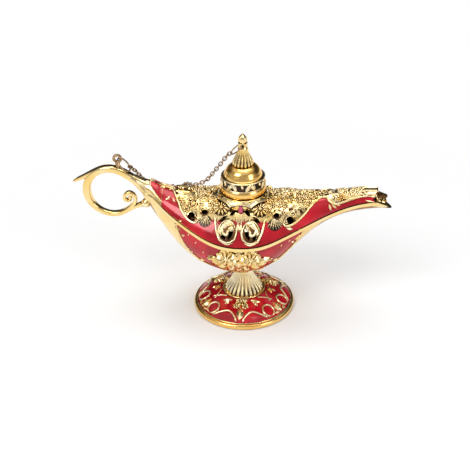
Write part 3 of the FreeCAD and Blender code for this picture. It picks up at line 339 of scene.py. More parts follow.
class Relief:
    """A piece of applied ornament, gathered leaf by leaf and wire by wire."""

    def __init__(self, skin):
        self.skin = skin
        self.points = []
        self.faces = []

    def grid(self, rows, closed=False):
        base = len(self.points)
        wide = len(rows[0])
        for row in rows:
            self.points += row
        columns = wide if closed else wide - 1
        for i in range(len(rows) - 1):
            for j in range(columns):
                k = (j + 1) % wide
                self.faces.append((base + i * wide + j, base + i * wide + k,
                                   base + (i + 1) * wide + k, base + (i + 1) * wide + j))

    def wire(self, line, radius, closed=False, taper=0.18):
        """A round wire along a line, thinning at its ends."""
        sides = 8
        count = len(line)
        normal = None
        rows = []
        for i, point in enumerate(line):
            if closed:
                along = line[(i + 1) % count] - line[i - 1]
            else:
                along = line[min(i + 1, count - 1)] - line[max(i - 1, 0)]
            along.normalize()
            if normal is None:
                normal = along.orthogonal()
            normal = (normal - along * normal.dot(along)).normalized()
            across = along.cross(normal)
            share = i / (count - 1)
            size = radius * MM
            if not closed:
                size *= max(0.12, min(1.0, share / taper, (1 - share) / taper))
            rows.append([point + (normal * math.cos(2 * math.pi * k / sides)
                                  + across * math.sin(2 * math.pi * k / sides)) * size
                         for k in range(sides)])
        if closed:
            rows.append(rows[0])
        self.grid(rows, closed=True)

    def laid(self, points, lift):
        """Points moved on to the surface and raised a little."""
        line = []
        for point in points:
            place, normal = self.skin.near(point)
            line.append(place + normal * lift * MM)
        return line

    def front_wire(self, points, side, radius, lift=0.25, closed=False, steps=6):
        flat = smooth([(x, z, 0) for x, z in points], steps)
        line = []
        for spot in flat:
            place, normal = self.skin.front(spot.x, spot.y, side)
            line.append(place + normal * lift * MM)
        self.wire(line, radius, closed)

    def axes(self, place, normal, way):
        along = way - normal * way.dot(normal)
        if along.length < 1e-6:
            along = normal.orthogonal()
        along.normalize()
        return along, normal.cross(along)

    def leaf(self, place, normal, way, length, width, rise, ribs=0, blunt=0.75, cup=0.0):
        """A raised leaf or petal from its root, with ribs along it if wanted."""
        along, across = self.axes(place, normal, way)
        rows = []
        steps = 8
        spread = 8 if ribs else 6
        for i in range(steps + 1):
            u = i / steps
            half = width / 2 * math.sin(math.pi * min(max(u, 0.04), 0.97)) ** blunt
            row = []
            for j in range(spread + 1):
                v = 2 * j / spread - 1
                spot = place + (along * length * u + across * half * v) * MM
                seat, out = self.skin.near(spot)
                swell = (1 - v * v) * math.sin(math.pi * min(0.15 + 0.8 * u, 1.0)) ** 0.6
                swell += cup * u
                if ribs:
                    swell *= 0.72 + 0.28 * math.cos(ribs * math.pi * v)
                row.append(seat + out * (rise * swell - 0.12) * MM)
            rows.append(row)
        self.grid(rows)

    def front_leaves(self, leaves, side, rise, hand=1, middle=(0.0, 0.0)):
        """Ribbed leaves, each given as its root's x and z, its direction's x and z, length and width."""
        for x, z, way_x, way_z, length, width in leaves:
            root, out = self.skin.front(hand * (middle[0] + x), middle[1] + z, side)
            self.leaf(root, out, Vector((hand * way_x, 0, way_z)), length, width, rise, 1)

    def dome(self, place, normal, radius, rise):
        """A bead set on the surface."""
        along, across = self.axes(place, normal, Vector((0.3, 0.5, 0.8)))
        rows = []
        for i in range(5):
            tilt = math.pi / 2 * i / 4
            ring = max(math.cos(tilt), 0.02) * radius
            up = math.sin(tilt) * rise - 0.1
            rows.append([place + (along * math.cos(2 * math.pi * k / 10) * ring
                                  + across * math.sin(2 * math.pi * k / 10) * ring
                                  + normal * up) * MM for k in range(10)])
        self.grid(rows, closed=True)

    def rosette(self, place, normal, radius, petals, rise, turn=0.0, ribs=0):
        along, across = self.axes(place, normal, Vector((1, 0.2, 0.1)))
        for number in range(petals):
            angle = turn + 2 * math.pi * number / petals
            way = along * math.cos(angle) + across * math.sin(angle)
            root = place + way * 0.16 * radius * MM
            wide = 2.0 * math.pi * radius * 0.62 / petals
            self.leaf(root, normal, way, 0.84 * radius, wide, rise, ribs, 0.6, 0.25)
        self.dome(place + normal * 0.1 * MM, normal, 0.26 * radius, rise * 1.15)

    def curl(self, place, normal, way, size, hand, radius, turns=1.25):
        """A spiral wire that starts along a direction and winds in."""
        along, across = self.axes(place, normal, way)
        points = []
        steps = int(18 * turns)
        for i in range(steps + 1):
            share = i / steps
            angle = 2 * math.pi * turns * share
            reach = size * (1 - 0.72 * share)
            points.append(place + (along * math.sin(angle) * reach
                                   + across * hand * (size - math.cos(angle) * reach)) * MM)
        self.wire(self.laid(points, radius * 0.5), radius)

    def made(self, name, body, slot, finish):
        mesh = bpy.data.meshes.new(name)
        mesh.from_pydata([point[:] for point in self.points], [], self.faces)
        mesh.update()
        for face in mesh.polygons:
            face.use_smooth = True
        mesh.materials.append(finish)
        piece = bpy.data.objects.new(name, mesh)
        scene.collection.objects.link(piece)
        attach(piece, body)
        return piece


hull = Skin("cover", "cover_enamel", "cover_scrolls", "bowl", "bowl_enamel", "bowl_flowers")
cover = Skin("cover", "cover_enamel", "cover_scrolls")
foot = Skin("foot", "foot_enamel")
lid = Skin("lid")
handle = Skin("handle")


# cover: cords along the enamel, scroll frames, lyres and palmettes

LEFT_BORDER = [(-57, 91.6), (-51, 90.4), (-46, 87.6), (-42, 84.2), (-38.5, 80.0),
               (-34, 76.6), (-29.6, 75.6), (-27.4, 77.2), (-28.8, 78.6)]
RIGHT_BORDER = [(86, 91.4), (80, 91.6), (72, 89.8), (65, 87.4), (61, 86.4), (57.5, 87.4), (54, 88.8),
                (48.5, 87.0), (44, 83.6), (40, 80.2), (35, 77.0), (30.6, 76.0), (28.2, 77.4), (29.4, 78.9)]
LYRE = [(17.6, 79.4), (16.2, 78.2), (15.4, 75.2), (14.2, 71.4), (11.4, 67.6), (7.2, 65.9), (3.4, 67.0)]
INNER_LYRE = [(0.9, 78.6), (1.3, 75.6), (1.6, 72.6), (2.6, 69.4), (4.6, 67.6)]
SCROLL_X = 7.7
SCROLL_Z = 72.7
SCROLL_R = 5.7
HOOK = [(-4.4, 3.8), (-1.6, 5.0), (1.6, 4.4), (3.2, 2.2), (2.6, -0.4), (0.6, -1.4), (-0.8, -0.4),
        (-0.4, 1.0)]
INNER_HOOK = [(3.2, 3.4), (4.4, 0.8), (4.0, -2.0), (2.4, -3.6), (0.6, -3.8)]
CREST_LEAVES = [(-3.6, 5.0, 1.0, -0.4, 6.0, 3.6), (-3.4, 4.2, 0.3, -1.0, 7.0, 3.0),
                (-0.4, 5.2, 0.6, -1.0, 6.4, 3.8), (2.4, 4.2, 0.4, -1.0, 5.6, 2.8),
                (-2.8, -1.6, 0.8, -0.7, 4.6, 2.0), (4.6, 1.0, -0.2, -1.0, 4.6, 1.8)]
TOP_LEAVES = [(12.4, 78.0, 0.5, -1.0, 7.4, 2.4), (13.6, 79.0, 0.25, -1.0, 6.4, 1.8),
              (4.6, 78.6, 1.0, -0.5, 4.4, 2.2), (9.4, 79.0, -0.3, -1.0, 4.6, 2.2),
              (3.0, 79.2, -0.2, -1.0, 4.2, 1.8)]

borders = Relief(hull)
for side in FRONT_AND_BACK:
    borders.front_wire(LEFT_BORDER, side, 0.75, 0.35)
    borders.front_wire(RIGHT_BORDER, side, 0.75, 0.35)
borders.made("cover_border_cords", "lamp", "gold", bright_gold)

frames = Relief(hull)
for side in FRONT_AND_BACK:
    for hand in LEFT_AND_RIGHT:
        ring = []
        for step in range(41):
            turn = 2 * math.pi * step / 40
            ring.append((hand * SCROLL_X + SCROLL_R * math.cos(turn), SCROLL_Z + SCROLL_R * math.sin(turn)))
        frames.front_wire(ring, side, 0.5, 0.3, steps=1)
        frames.front_wire([(hand * x, z) for x, z in LYRE], side, 0.8, 0.45)
        frames.front_wire([(hand * x, z) for x, z in INNER_LYRE], side, 0.55, 0.35)
        frames.front_wire([(hand * (SCROLL_X + x), SCROLL_Z + z) for x, z in HOOK], side, 0.9, 0.4)
        frames.front_wire([(hand * (SCROLL_X + x), SCROLL_Z + z) for x, z in INNER_HOOK], side, 0.8, 0.4)
        frames.front_leaves(CREST_LEAVES, side, 1.3, hand, (SCROLL_X, SCROLL_Z))
        frames.front_leaves(TOP_LEAVES, side, 1.5, hand)
        place, normal = hull.front(hand * (SCROLL_X - 0.4), SCROLL_Z + 0.4, side)
        frames.dome(place, normal, 1.1, 1.2)
    root, out = hull.front(0, 78.6, side)
    frames.leaf(root, out, Vector((0, 0, -1)), 8.6, 3.4, 1.2, 1)
frames.made("scroll_frame_wires", "lamp", "gold", pale_gold)

palmettes = Relief(hull)
PALM_X = 21.6
PALM_Z = 79.4
for side in FRONT_AND_BACK:
    for hand in LEFT_AND_RIGHT:
        place, normal = hull.front(hand * PALM_X, PALM_Z, side)
        for number in range(8):
            turn = math.radians(-8 - 16 * number)
            way = Vector((hand * math.cos(turn), 0.35 * side, math.sin(turn)))
            palmettes.leaf(place, normal, way, 8.4 - 0.25 * number, 0.95, 1.3, 0, 0.6)
        palmettes.curl(place, normal, Vector((hand, 0, 0.6)), 1.6, -hand, 0.5)
palmettes.made("palmette_leaves", "lamp", "gold", pale_gold)

# cover: raised filigree between the cords and the collar

BORDER_LINE = [(-60, 91.0), (-51, 90.4), (-42, 84.2), (-36, 77.8), (-28, 77.6), (-18, 80.0), (18, 80.0),
               (28, 78.0), (36, 78.0), (44, 83.8), (50, 88.0), (56, 88.8), (62, 87.0), (74, 90.8),
               (90, 92.0)]
NECK_CLEAR = 18.2
KEEP_OPEN = [(-32.0, 78.2, 3.6), (32.2, 78.4, 3.6), (-23.6, 81.0, 2.6), (23.6, 81.0, 2.6),
             (-7.7, 76.0, 8.0), (7.7, 76.0, 8.0)]
BOSS_X = -39.0
BOSS_Y = -1.5
BOSS_CLEAR_X = 6.4
BOSS_CLEAR_Y = 3.0
FILIGREE_LEFT = -57
FILIGREE_RIGHT = 80
STEEPEST = 0.12
SPOUT_START = 54
FILIGREE_STEP = 4.5
BEAD_STEP = 2.5


def border_height(x):
    for (x0, z0), (x1, z1) in zip(BORDER_LINE, BORDER_LINE[1:]):
        if x0 <= x <= x1:
            return z0 + (z1 - z0) * (x - x0) / (x1 - x0)
    return 200.0


def filigree_spot(x, y, margin):
    """The cover at a plan place, or None where the filigree leaves it bare."""
    if math.hypot(x, y) < NECK_CLEAR:
        return None
    place, normal = cover.plan(x, y)
    if place is None or normal.z < STEEPEST:
        return None
    z = place.z / MM
    if z < border_height(x) + margin or x < FILIGREE_LEFT or x > FILIGREE_RIGHT:
        return None
    if abs(x - BOSS_X) < BOSS_CLEAR_X and abs(y - BOSS_Y) < BOSS_CLEAR_Y:
        return None
    for hole_x, hole_z, reach in KEEP_OPEN:
        if math.hypot(x - hole_x, z - hole_z) < reach:
            return None
    return place, normal


def spout_height(x):
    """The relief is lower along the spout."""
    return 0.5 if x > SPOUT_START else 1.0


chance = random.Random(11)
filigree = Relief(cover)
beads = Relief(cover)
for column in range(-13, 21):
    for row in range(-6, 7):
        x = FILIGREE_STEP * (column + 0.5 * (row % 2)) + chance.uniform(-0.7, 0.7)
        y = FILIGREE_STEP * 0.88 * row + chance.uniform(-0.7, 0.7)
        spot = filigree_spot(x, y, 1.0)
        if spot is None:
            continue
        place, normal = spot
        turn = chance.uniform(0, 2 * math.pi)
        way = Vector((math.cos(turn), math.sin(turn), 0))
        kind = chance.random()
        height = spout_height(x)
        if kind < 0.40:
            radius = chance.uniform(2.3, 3.0)
            filigree.rosette(place, normal, radius, chance.choice((5, 6, 7)), 1.3 * height, turn)
        elif kind < 0.72:
            for number in range(3):
                fan = way.copy()
                fan.rotate(Matrix.Rotation(0.75 * (number - 1), 3, "Z"))
                filigree.leaf(place - way * 1.2 * MM, normal, fan, 4.2, 1.7, 1.2 * height, 1)
        else:
            filigree.curl(place - way * 1.4 * MM, normal, way, 1.9, chance.choice((-1, 1)), 0.5)
            filigree.leaf(place, normal, -way, 2.6, 1.5, 1.0)
for column in range(-23, 36):
    for row in range(-11, 12):
        x = BEAD_STEP * column + chance.uniform(-0.6, 0.6)
        y = BEAD_STEP * row + chance.uniform(-0.6, 0.6)
        spot = filigree_spot(x, y, 0.4)
        if spot is None or chance.random() > 0.62:
            continue
        if chance.random() < 0.4:
            radius = chance.uniform(0.4, 0.65)
            beads.dome(spot[0], spot[1], radius, chance.uniform(0.7, 1.1) * spout_height(x))
        else:
            turn = chance.uniform(0, 2 * math.pi)
            beads.leaf(spot[0], spot[1], Vector((math.cos(turn), math.sin(turn), 0)),
                       chance.uniform(1.6, 2.6), 0.8, 1.1 * spout_height(x))
filigree.made("cover_filigree", "lamp", "gold", bright_gold)
beads.made("cover_beads", "lamp", "gold", pale_gold)

# cover: a smooth leaf on the ridge, before the handle

boss = Relief(cover)
place, normal = cover.plan(BOSS_X - 5.6, BOSS_Y)
boss.leaf(place, normal, Vector((1, 0, 0)), 11.2, 4.6, 1.2)
boss.made("cover_ridge_leaf", "lamp", "gold", warm_gold)

# cover: large flowers beside the collar

fans = Relief(cover)
FAN_X = 12.8
FAN_Y = 14.6
for side in FRONT_AND_BACK:
    for hand in LEFT_AND_RIGHT:
        place, normal = cover.plan(hand * FAN_X, side * FAN_Y)
        fans.rosette(place + normal * 0.8 * MM, normal, 5.8, 11, 2.2, 0.2)
fans.made("collar_flowers", "lamp", "gold", bright_gold)

# painted shade: brown rings round the eyes that widen their dark openings, and painted shadows under the
# collar flowers and the palmettes

painted_shadows = Relief(hull)
eye_shades = Relief(hull)
EYES = [(-32.0, 78.3, 4.0), (32.0, 78.4, 4.0), (-23.6, 81.0, 3.0), (23.6, 81.0, 3.0)]
EYE_SPAN = 3.4


def ring_patch(relief, place, normal, way, reaches, sides, lift):
    """Rings of some radii round a place, laid on the hull and joined."""
    along, across = relief.axes(place, normal, way)
    rows = []
    for reach in reaches:
        row = []
        for number in range(sides):
            turn = 2 * math.pi * number / sides
            seat, out = hull.near(place + (along * math.cos(turn) + across * math.sin(turn)) * reach)
            row.append(seat + out * lift * MM)
        rows.append(row)
    relief.grid(rows, closed=True)


# a near-black disc of painted shadow under a relief flower
def shade_disc(place, normal, radius):
    reaches = [max(ring / 4, 0.02) * radius * MM for ring in range(5)]
    ring_patch(painted_shadows, place, normal, Vector((1, 0.1, 0.2)), reaches, 24, 0.12)


def painted_eye_ring(place, normal, inner, outer):
    reaches = [(inner + (outer - inner) * ring / 3) * MM for ring in range(4)]
    ring_patch(eye_shades, place, normal, Vector((1, 0, 0)), reaches, 28, 0.1)


# painted shade: a brown ring laid round each eye, standing for the shaded inside of the opening
for side in FRONT_AND_BACK:
    for x, z, outer in EYES:
        normal = hull.near(hull.front(x, z + EYE_SPAN, side)[0])[1]
        place = hull.front(x - EYE_SPAN, z, side)[0].lerp(hull.front(x + EYE_SPAN, z, side)[0], 0.5)
        painted_eye_ring(place, normal, 0.72 * outer, outer)
eye_shades.made("eye_shade_rings", "lamp", "gold", dull_brown)

# painted shadows: near-black discs under the collar flowers and the palmettes
for side in FRONT_AND_BACK:
    for hand in LEFT_AND_RIGHT:
        shade_disc(*cover.plan(hand * FAN_X, side * FAN_Y), 5.6)
        shade_disc(*hull.front(hand * (PALM_X + 1.0), PALM_Z - 2.2, side), 4.2)

# collar drape: a thin scalloped skirt under the lid, peaked at front and back

drape = Relief(cover)
rows = []
DRAPE_TOP_R = 15.2
DRAPE_TOP_Z = 88.6
for ring in range(6):
    share = ring / 5
    row = []
    for number in range(144):
        degrees = 360 * number / 144
        turn = math.radians(degrees)
        wave = abs(math.cos(4 * turn)) ** 0.7
        radius = DRAPE_TOP_R + share * (2.9 - 1.5 * wave) + 0.7 * math.sin(math.pi * share)
        height = DRAPE_TOP_Z - share * (4.6 - 2.6 * wave)
        seat, _ = cover.polar(radius, degrees)
        if seat is not None:
            height = max(height, seat.z / MM + 0.3)
        row.append(Vector((radius * math.cos(turn), radius * math.sin(turn), height)) * MM)
    rows.append(row)
drape.grid(rows, closed=True)
drape.wire(rows[-2], 0.4, closed=True)
drape.made("collar_drape", "lamp", "gold", pale_gold)
# painted shadow: a near-black wire under the drape's scalloped edge
painted_shadows.wire(rows[-1], 0.42, closed=True)
painted_shadows.made("ornament_painted_shadows", "lamp", "gold", near_black)

# bowl: flower pair, leaves along the panel ends, and sprigs in the red

bloom = Relief(hull)
FLOWER_X = 8.0
FLOWER_Z = 55.2
BLOOM_LEAVES = [(12.6, 53.0, 1.0, 0.05, 8.2, 4.2), (11.0, 50.4, 1.0, -0.4, 8.0, 4.2),
                (8.0, 48.6, 0.7, -0.7, 7.0, 4.2), (3.0, 48.0, 0.35, -1.0, 8.4, 4.2)]
for side in FRONT_AND_BACK:
    for hand in LEFT_AND_RIGHT:
        place, normal = hull.front(hand * FLOWER_X, FLOWER_Z, side)
        bloom.rosette(place, normal, 7.4, 9, 1.9, 0.3, 1)
        bloom.rosette(place + normal * 1.0 * MM, normal, 4.2, 7, 1.4, 0.1)
        bloom.front_leaves(BLOOM_LEAVES, side, 1.5, hand)
    root, out = hull.front(0, 54.0, side)
    bloom.leaf(root, out, Vector((0, 0, -1)), 11.0, 5.0, 1.7, 1)
    for x, lean in ((-10.5, -0.1), (-5.4, 0.0), (0.0, 0.0), (5.4, 0.0), (10.5, 0.1)):
        root, out = hull.front(x, 46.4, side)
        bloom.leaf(root, out, Vector((lean, 0, -1)), 9.0, 4.6, 1.3, 1)
    top, out = hull.front(0, 56.4, side)
    bloom.leaf(top, out, Vector((0, 0, 1)), 4.4, 3.2, 1.2, 1)
bloom.made("bowl_bloom", "lamp", "gold", bright_gold)

vines = Relief(hull)
LEFT_EDGE = [(-42.0, 73.4), (-41.8, 70.6), (-39.6, 64.4), (-35.0, 56.0), (-27.0, 47.6), (-18.0, 42.4)]
RIGHT_EDGE = [(41.0, 71.4), (39.4, 67.6), (36.4, 62.6), (32.0, 57.0), (25.0, 49.4), (17.6, 43.8)]
for side in FRONT_AND_BACK:
    for edge, hand in ((LEFT_EDGE, -1), (RIGHT_EDGE, 1)):
        vines.front_wire(edge, side, 0.6, 0.3)
        for number, (x, z) in enumerate(edge[:-1]):
            root, out = hull.front(x, z - 0.4, side)
            vines.leaf(root, out, Vector((-hand * 0.9, 0, -0.4 if number % 2 else 0.5)), 4.6, 2.6, 1.1, 1)
            vines.leaf(root, out, Vector((hand * 0.7, 0, -0.9)), 3.6, 2.0, 0.9)
    root, out = hull.front(21.5, 51.6, side)
    vines.curl(root, out, Vector((0.2, 0, 1)), 1.5, 1, 0.42, 1.1)
    root, out = hull.front(-21.5, 51.0, side)
    vines.curl(root, out, Vector((-0.2, 0, 1)), 1.5, -1, 0.42, 1.1)
    for x, z in ((-29.0, 62.0), (-24.0, 55.4), (27.0, 62.4), (32.0, 64.6), (-34.0, 66.6)):
        root, out = hull.front(x, z, side)
        vines.leaf(root, out, Vector((0.4, 0, 1)), 2.2, 0.9, 0.5)
vines.made("bowl_vines", "lamp", "gold", bright_gold)

# foot: three flower sprigs with scrolls between them

sprigs = Relief(foot)
scrolls = Relief(foot)
SPRIG_ANGLES = (-90, 30, 150)


def foot_point(radius, degrees, lift=0.3):
    place, normal = foot.polar(radius, degrees)
    return place + normal * lift * MM


def foot_wire(points, radius=0.5):
    line = [foot_point(spot.x, spot.y) for spot in smooth([(r, a, 0) for r, a in points], 6)]
    scrolls.wire(line, radius, taper=0.08)


def foot_way(degrees, lean=0.0):
    turn = math.radians(degrees + lean)
    return Vector((math.cos(turn), math.sin(turn), 0))


for middle in SPRIG_ANGLES:
    place, normal = foot.polar(17.6, middle)
    sprigs.rosette(place, normal, 4.4, 8, 1.5, 0.2, 1)
    for hand in LEFT_AND_RIGHT:
        place, normal = foot.polar(21.4, middle + 8 * hand)
        sprigs.rosette(place, normal, 2.6, 6, 1.2, 0.5)
        place, normal = foot.polar(17.0, middle + 22 * hand)
        sprigs.leaf(place, normal, foot_way(middle, 92 * hand), 6.4, 3.6, 1.3, 1)
        place, normal = foot.polar(19.4, middle + 26 * hand)
        sprigs.leaf(place, normal, foot_way(middle, 60 * hand), 3.4, 2.0, 0.9, 1)
        foot_wire([(32.2, middle + 4 * hand), (29.4, middle + 6.5 * hand), (26.6, middle + 13 * hand),
                   (26.0, middle + 20 * hand), (28.0, middle + 28 * hand), (31.8, middle + 37 * hand)], 0.7)
        circle = middle + 43 * hand
        ring = []
        for step in range(26):
            turn = math.radians(360 * step / 25)
            ring.append((27.6 + 3.9 * math.cos(turn), circle + hand * 8.2 * math.sin(turn)))
        foot_wire(ring, 0.7)
        foot_wire([(23.0, middle + 57 * hand), (20.4, middle + 60 * hand), (17.4, middle + 68 * hand),
                   (15.6, middle + 78 * hand)], 0.45)
    place, normal = foot.polar(22.4, middle)
    sprigs.leaf(place, normal, foot_way(middle), 9.8, 5.4, 1.5, 1, 0.9)
    for hand in LEFT_AND_RIGHT:
        place, normal = foot.polar(24.0, middle + 4 * hand)
        sprigs.leaf(place, normal, foot_way(middle, -50 * hand), 3.6, 1.8, 1.0)
    between = middle + 60
    place, normal = foot.polar(32.0, between)
    sprigs.leaf(place, normal, foot_way(between, 180), 8.4, 6.4, 1.3, 1)
    for hand in LEFT_AND_RIGHT:
        place, normal = foot.polar(31.6, between + 3 * hand)
        sprigs.leaf(place, normal, foot_way(between, 110 * hand), 4.6, 2.4, 1.0, 1)
sprigs.made("foot_sprigs", "lamp", "gold", bright_gold)
scrolls.made("foot_scroll_wires", "lamp", "gold", pale_gold)

rim_lines = Relief(foot)
for radius, thick in ((32.6, 0.42), (14.4, 0.5)):
    line = [foot_point(radius, 3 * number, 0.1) for number in range(120)]
    rim_lines.wire(line, thick, closed=True)
rim_lines.made("foot_edge_wires", "lamp", "gold", bright_gold)

# lid: raised leaf band on a dark ground, and the step line over it

band = Relief(lid)
ground = Relief(lid)
BAND_LOW = 94.8
BAND_TOP = 100.1


def lid_line(height, lift):
    """A level line round the lid, raised a little."""
    line = []
    for number in range(120):
        place, normal = lid.around(height, 3 * number)
        line.append(place + normal * lift * MM)
    return line


ground.grid([lid_line(height, 0.06) for height in (BAND_LOW, 0.5 * (BAND_LOW + BAND_TOP), BAND_TOP)],
            closed=True)
ground.wire(lid_line(BAND_TOP + 0.7, 0.02), 0.3, closed=True)
ground.made("lid_band_ground", "lid", "gold", near_black)
BAND_LEAVES = 14
for number in range(BAND_LEAVES):
    degrees = 360 * number / BAND_LEAVES
    turn = math.radians(degrees)
    lean = Vector((-math.sin(turn), math.cos(turn), 0)) * (0.75 if number % 2 else -0.45)
    place, normal = lid.around(BAND_LOW + 0.1, degrees)
    band.leaf(place, normal, lean + Vector((0, 0, 1)), 6.0, 3.6, 1.1, 1)
    place, normal = lid.around(BAND_TOP - 0.1, degrees + 200 / BAND_LEAVES)
    band.leaf(place, normal, lean * -0.8 - Vector((0, 0, 1)), 3.4, 2.0, 0.8)
for height in (BAND_LOW - 0.1, BAND_TOP + 0.1):
    band.wire(lid_line(height, 0.05), 0.38, closed=True)
band.made("lid_band_leaves", "lid", "gold", pale_gold)

# spout: a rosette, leaves along its top, and long leaves on the lips

SPOUT_LEAVES = [(56.8, 86.4, 0.3, -1.0, 5.0, 2.0), (58.4, 86.6, 0.7, -0.8, 4.8, 2.0),
                (60.2, 86.8, 1.0, -0.4, 4.4, 1.8), (30.0, 75.4, 1.0, -0.2, 5.0, 2.6),
                (68.6, 89.4, 1.0, 0.2, 5.4, 2.0), (73.0, 90.4, 1.0, 0.2, 5.6, 2.0),
                (78.0, 93.4, 1.0, -0.05, 12.0, 2.2), (78.0, 91.6, 1.0, -0.1, 12.0, 2.0),
                (80.0, 89.6, 1.0, -0.35, 9.0, 2.0), (84.0, 85.4, 1.0, -0.2, 12.0, 2.2)]
ROSETTE_PLACE = (64.6, 89.6)
spout = Relief(hull)
petals = Relief(hull)
for side in FRONT_AND_BACK:
    spout.front_leaves(SPOUT_LEAVES, side, 0.8)
    place, normal = hull.front(*ROSETTE_PLACE, side)
    petals.rosette(place, normal, 3.4, 8, 1.0, 0.2, 1)
spout.made("spout_leaves", "lamp", "gold", pale_gold)
petals.made("spout_rosettes", "lamp", "gold", warm_gold)

# cover: the pointed end of the red border by the handle, its cord and the sprigs across it

root_skin = Skin("handle", "cover", "cover_enamel", "bowl")
tips = Relief(root_skin)
tip_cords = Relief(root_skin)
TIP_TOP = [(-61.6, 97.0), (-58.0, 94.4), (-53.4, 91.2)]
TIP_LOW = [(-61.6, 92.6), (-58.6, 89.0), (-53.4, 84.4)]
TIP_SPRIGS = [(-50.8, 90.4, -0.5, -1.0, 4.6, 2.2), (-49.6, 89.6, 0.3, -1.0, 4.0, 1.8),
              (-47.4, 86.4, -0.5, -1.0, 4.6, 2.4), (-46.2, 85.6, 0.3, -1.0, 4.0, 1.8)]
for side in FRONT_AND_BACK:
    top = smooth([(x, z, 0) for x, z in TIP_TOP], 8)
    low = smooth([(x, z, 0) for x, z in TIP_LOW], 8)
    rows = []
    for high_spot, low_spot in zip(top, low):
        row = []
        for step in range(9):
            spot = high_spot.lerp(low_spot, step / 8)
            seat, out = root_skin.front(spot.x, spot.y, side)
            row.append(seat + out * 0.12 * MM)
        rows.append(row if side < 0 else row[::-1])
    tips.grid(rows)
    tip_cords.front_wire([TIP_TOP[1], TIP_TOP[0], *TIP_LOW], side, 0.5, 0.25)
    tip_cords.front_leaves(TIP_SPRIGS, side, 1.0)
tips.made("enamel_tips", "lamp", "red_enamel", red_enamel)
tip_cords.made("enamel_tip_cords", "lamp", "gold", pale_gold)

# handle: leaves where it joins the hull and where the branch meets the loop

grips = Relief(handle)
GRIP_LEAVES = [(-63.5, 90.0, -1.0, 0.7, 9.0), (-63.5, 86.0, -0.8, 0.9, 9.0), (-63.5, 81.0, -0.7, 0.9, 7.0),
               (-64.6, 76.6, -0.7, -0.5, 4.6), (-66.0, 76.2, -1.0, 0.0, 5.0)]
for x, z, way_x, way_z, length in GRIP_LEAVES:
    for side in FRONT_AND_BACK:
        root, out = handle.front(x, z, side)
        grips.leaf(root, out, Vector((way_x, 0, way_z)), length, 2.8, 0.9, 1)
grips.made("handle_leaves", "lamp", "gold", bright_gold)

# handle: a painted reflection of the dark wall behind, as a dark sheet along its top from the spur to the
# root

strip = Relief(handle)
STRIP = [(-112.0, 0.5), (-106.0, 0.6), (-100.0, 0.9), (-94.0, 1.1), (-88.0, 1.2),
         (-80.0, 1.8), (-76.0, 2.3), (-72.0, 2.8), (-68.0, 3.2), (-64.5, 3.2)]
rows = []
for spot in smooth([(x, half, 0) for x, half in STRIP], 5):
    row = []
    half = spot.y
    while None in (handle.plan(spot.x, -half)[0], handle.plan(spot.x, half)[0]):
        half -= 0.1
    for share in (-1.0, -0.5, 0.0, 0.5, 1.0):
        seat, out = handle.plan(spot.x, share * half)
        row.append(seat + out * 0.06 * MM)
    rows.append(row)
strip.grid(rows)
strip.made("handle_painted_reflection", "lamp", "gold", near_black)


# studio

floor_mesh = bpy.data.meshes.new("floor")
FLOOR_REACH = 40.0
FLOOR_FADE = (0.10, 0.34)
corners = ((-1, -1), (1, -1), (1, 1), (-1, 1))
floor_mesh.from_pydata([(x * FLOOR_REACH, y * FLOOR_REACH, 0) for x, y in corners], [], [(0, 1, 2, 3)])
floor = bpy.data.objects.new("floor", floor_mesh)
scene.collection.objects.link(floor)
paper = Shader("paper")
paper.surface.inputs["Base Color"].default_value = (0.95, 0.95, 0.95, 1.0)
paper.surface.inputs["Roughness"].default_value = 0.9
paper.surface.inputs["Specular IOR Level"].default_value = 0.1
rays = paper.node("ShaderNodeLightPath")
seen = paper.math("MAXIMUM", rays.outputs["Is Camera Ray"], rays.outputs["Is Glossy Ray"])
seen = paper.math("MAXIMUM", seen, rays.outputs["Is Transmission Ray"])
away = paper.node("ShaderNodeVectorMath", Vector=paper.places)
away.operation = "LENGTH"
white_share = paper.math("MULTIPLY", seen, paper.range(away.outputs["Value"], 0.0, 1.0, *FLOOR_FADE))
white = paper.node("ShaderNodeEmission", Strength=1.0)
blend = paper.node("ShaderNodeMixShader", Fac=white_share)
paper.tree.links.new(paper.surface.outputs["BSDF"], blend.inputs[1])
paper.tree.links.new(white.outputs["Emission"], blend.inputs[2])
paper.tree.links.new(blend.outputs["Shader"], paper.tree.nodes["Material Output"].inputs["Surface"])
floor_mesh.materials.append(paper.material)


def softbox(name, place, aim, width, power):
    lamp = bpy.data.lights.new(name, "AREA")
    lamp.size = width
    lamp.energy = power
    box = bpy.data.objects.new(name, lamp)
    box.location = place
    box.rotation_euler = (Vector(aim) - Vector(place)).to_track_quat("-Z", "Y").to_euler()
    scene.collection.objects.link(box)


MIDDLE = (0, 0, 0.07)
softbox("key", (-0.55, -0.75, 0.95), MIDDLE, 0.55, 7.0)
softbox("fill", (0.85, -0.55, 0.55), MIDDLE, 0.4, 2.6)
softbox("top", (0.05, 0.25, 1.1), MIDDLE, 0.7, 4.2)

world = bpy.data.worlds.new("studio")
scene.world = world
world.use_nodes = True
tree = world.node_tree
background = tree.nodes["Background"]
directions = tree.nodes.new("ShaderNodeTexCoord")
split = tree.nodes.new("ShaderNodeSeparateXYZ")
tree.links.new(directions.outputs["Generated"], split.inputs["Vector"])


def wall(axis, *stops):
    """Grey levels of the room along one axis of the direction looked in."""
    ramp = tree.nodes.new("ShaderNodeValToRGB")
    steps = ramp.color_ramp.elements
    while len(steps) < len(stops):
        steps.new(0.5)
    for step, (position, level) in zip(steps, stops):
        step.position = position
        step.color = (level, level, level, 1)
    tree.links.new(split.outputs[axis], ramp.inputs["Fac"])
    return ramp.outputs["Color"]


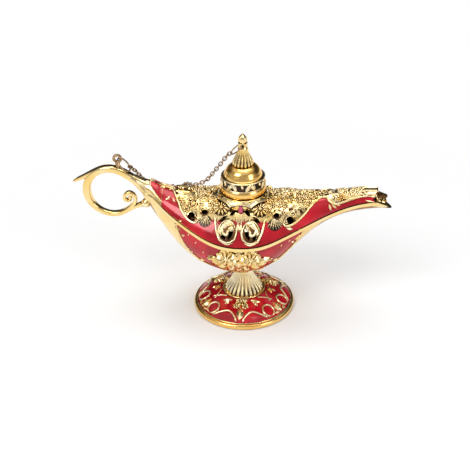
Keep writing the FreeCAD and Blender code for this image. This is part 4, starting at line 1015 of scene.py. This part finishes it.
def chosen(share, first, second):
    made = tree.nodes.new("ShaderNodeMix")
    made.data_type = "RGBA"
    tree.links.new(share, made.inputs["Factor"])
    tree.links.new(first, made.inputs[6])
    tree.links.new(second, made.inputs[7])
    return made


# bright in front and overhead, with a dark wall behind at the height of the camera's mirror image
behind = wall("Z", (0.0, 0.30), (0.22, 0.05), (0.62, 0.04), (0.80, 0.75))
before = wall("Z", (0.0, 0.60), (0.25, 0.46), (0.70, 0.38), (0.85, 0.75))
facing = tree.nodes.new("ShaderNodeMapRange")
tree.links.new(split.outputs["Y"], facing.inputs["Value"])
facing.inputs["From Min"].default_value = -0.25
facing.inputs["From Max"].default_value = 0.25
room = chosen(facing.outputs["Result"], before, behind)
tree.links.new(room.outputs[2], background.inputs["Color"])
background.inputs["Strength"].default_value = 1.0

# camera at the photograph's angle

VIEW_AZIMUTH = math.radians(6.8)
VIEW_HEIGHT = math.radians(31.0)
VIEW_ROLL = math.radians(0.8)
VIEW_RANGE = 650 * MM
VIEW_LENS = 73.3
AIM_ASIDE = -5.8
AIM_HEIGHT = 54.5
ahead = Vector((-math.sin(VIEW_AZIMUTH) * math.cos(VIEW_HEIGHT),
                math.cos(VIEW_AZIMUTH) * math.cos(VIEW_HEIGHT), -math.sin(VIEW_HEIGHT)))
right = Vector((math.cos(VIEW_AZIMUTH), math.sin(VIEW_AZIMUTH), 0))
up = right.cross(ahead)
aim = right * AIM_ASIDE * MM + Vector((0, 0, AIM_HEIGHT * MM))
rolled_right = right * math.cos(VIEW_ROLL) - up * math.sin(VIEW_ROLL)
rolled_up = up * math.cos(VIEW_ROLL) + right * math.sin(VIEW_ROLL)
camera = bpy.data.objects.new("camera", bpy.data.cameras.new("camera"))
camera.data.lens = VIEW_LENS
camera.data.sensor_width = 36.0
camera.data.clip_start = 0.01
camera.matrix_world = Matrix((
    (rolled_right.x, rolled_up.x, -ahead.x, 0),
    (rolled_right.y, rolled_up.y, -ahead.y, 0),
    (rolled_right.z, rolled_up.z, -ahead.z, 0),
    (0, 0, 0, 1)))
camera.location = aim - ahead * VIEW_RANGE
scene.collection.objects.link(camera)
scene.camera = camera
scene.view_settings.view_transform = "Standard"
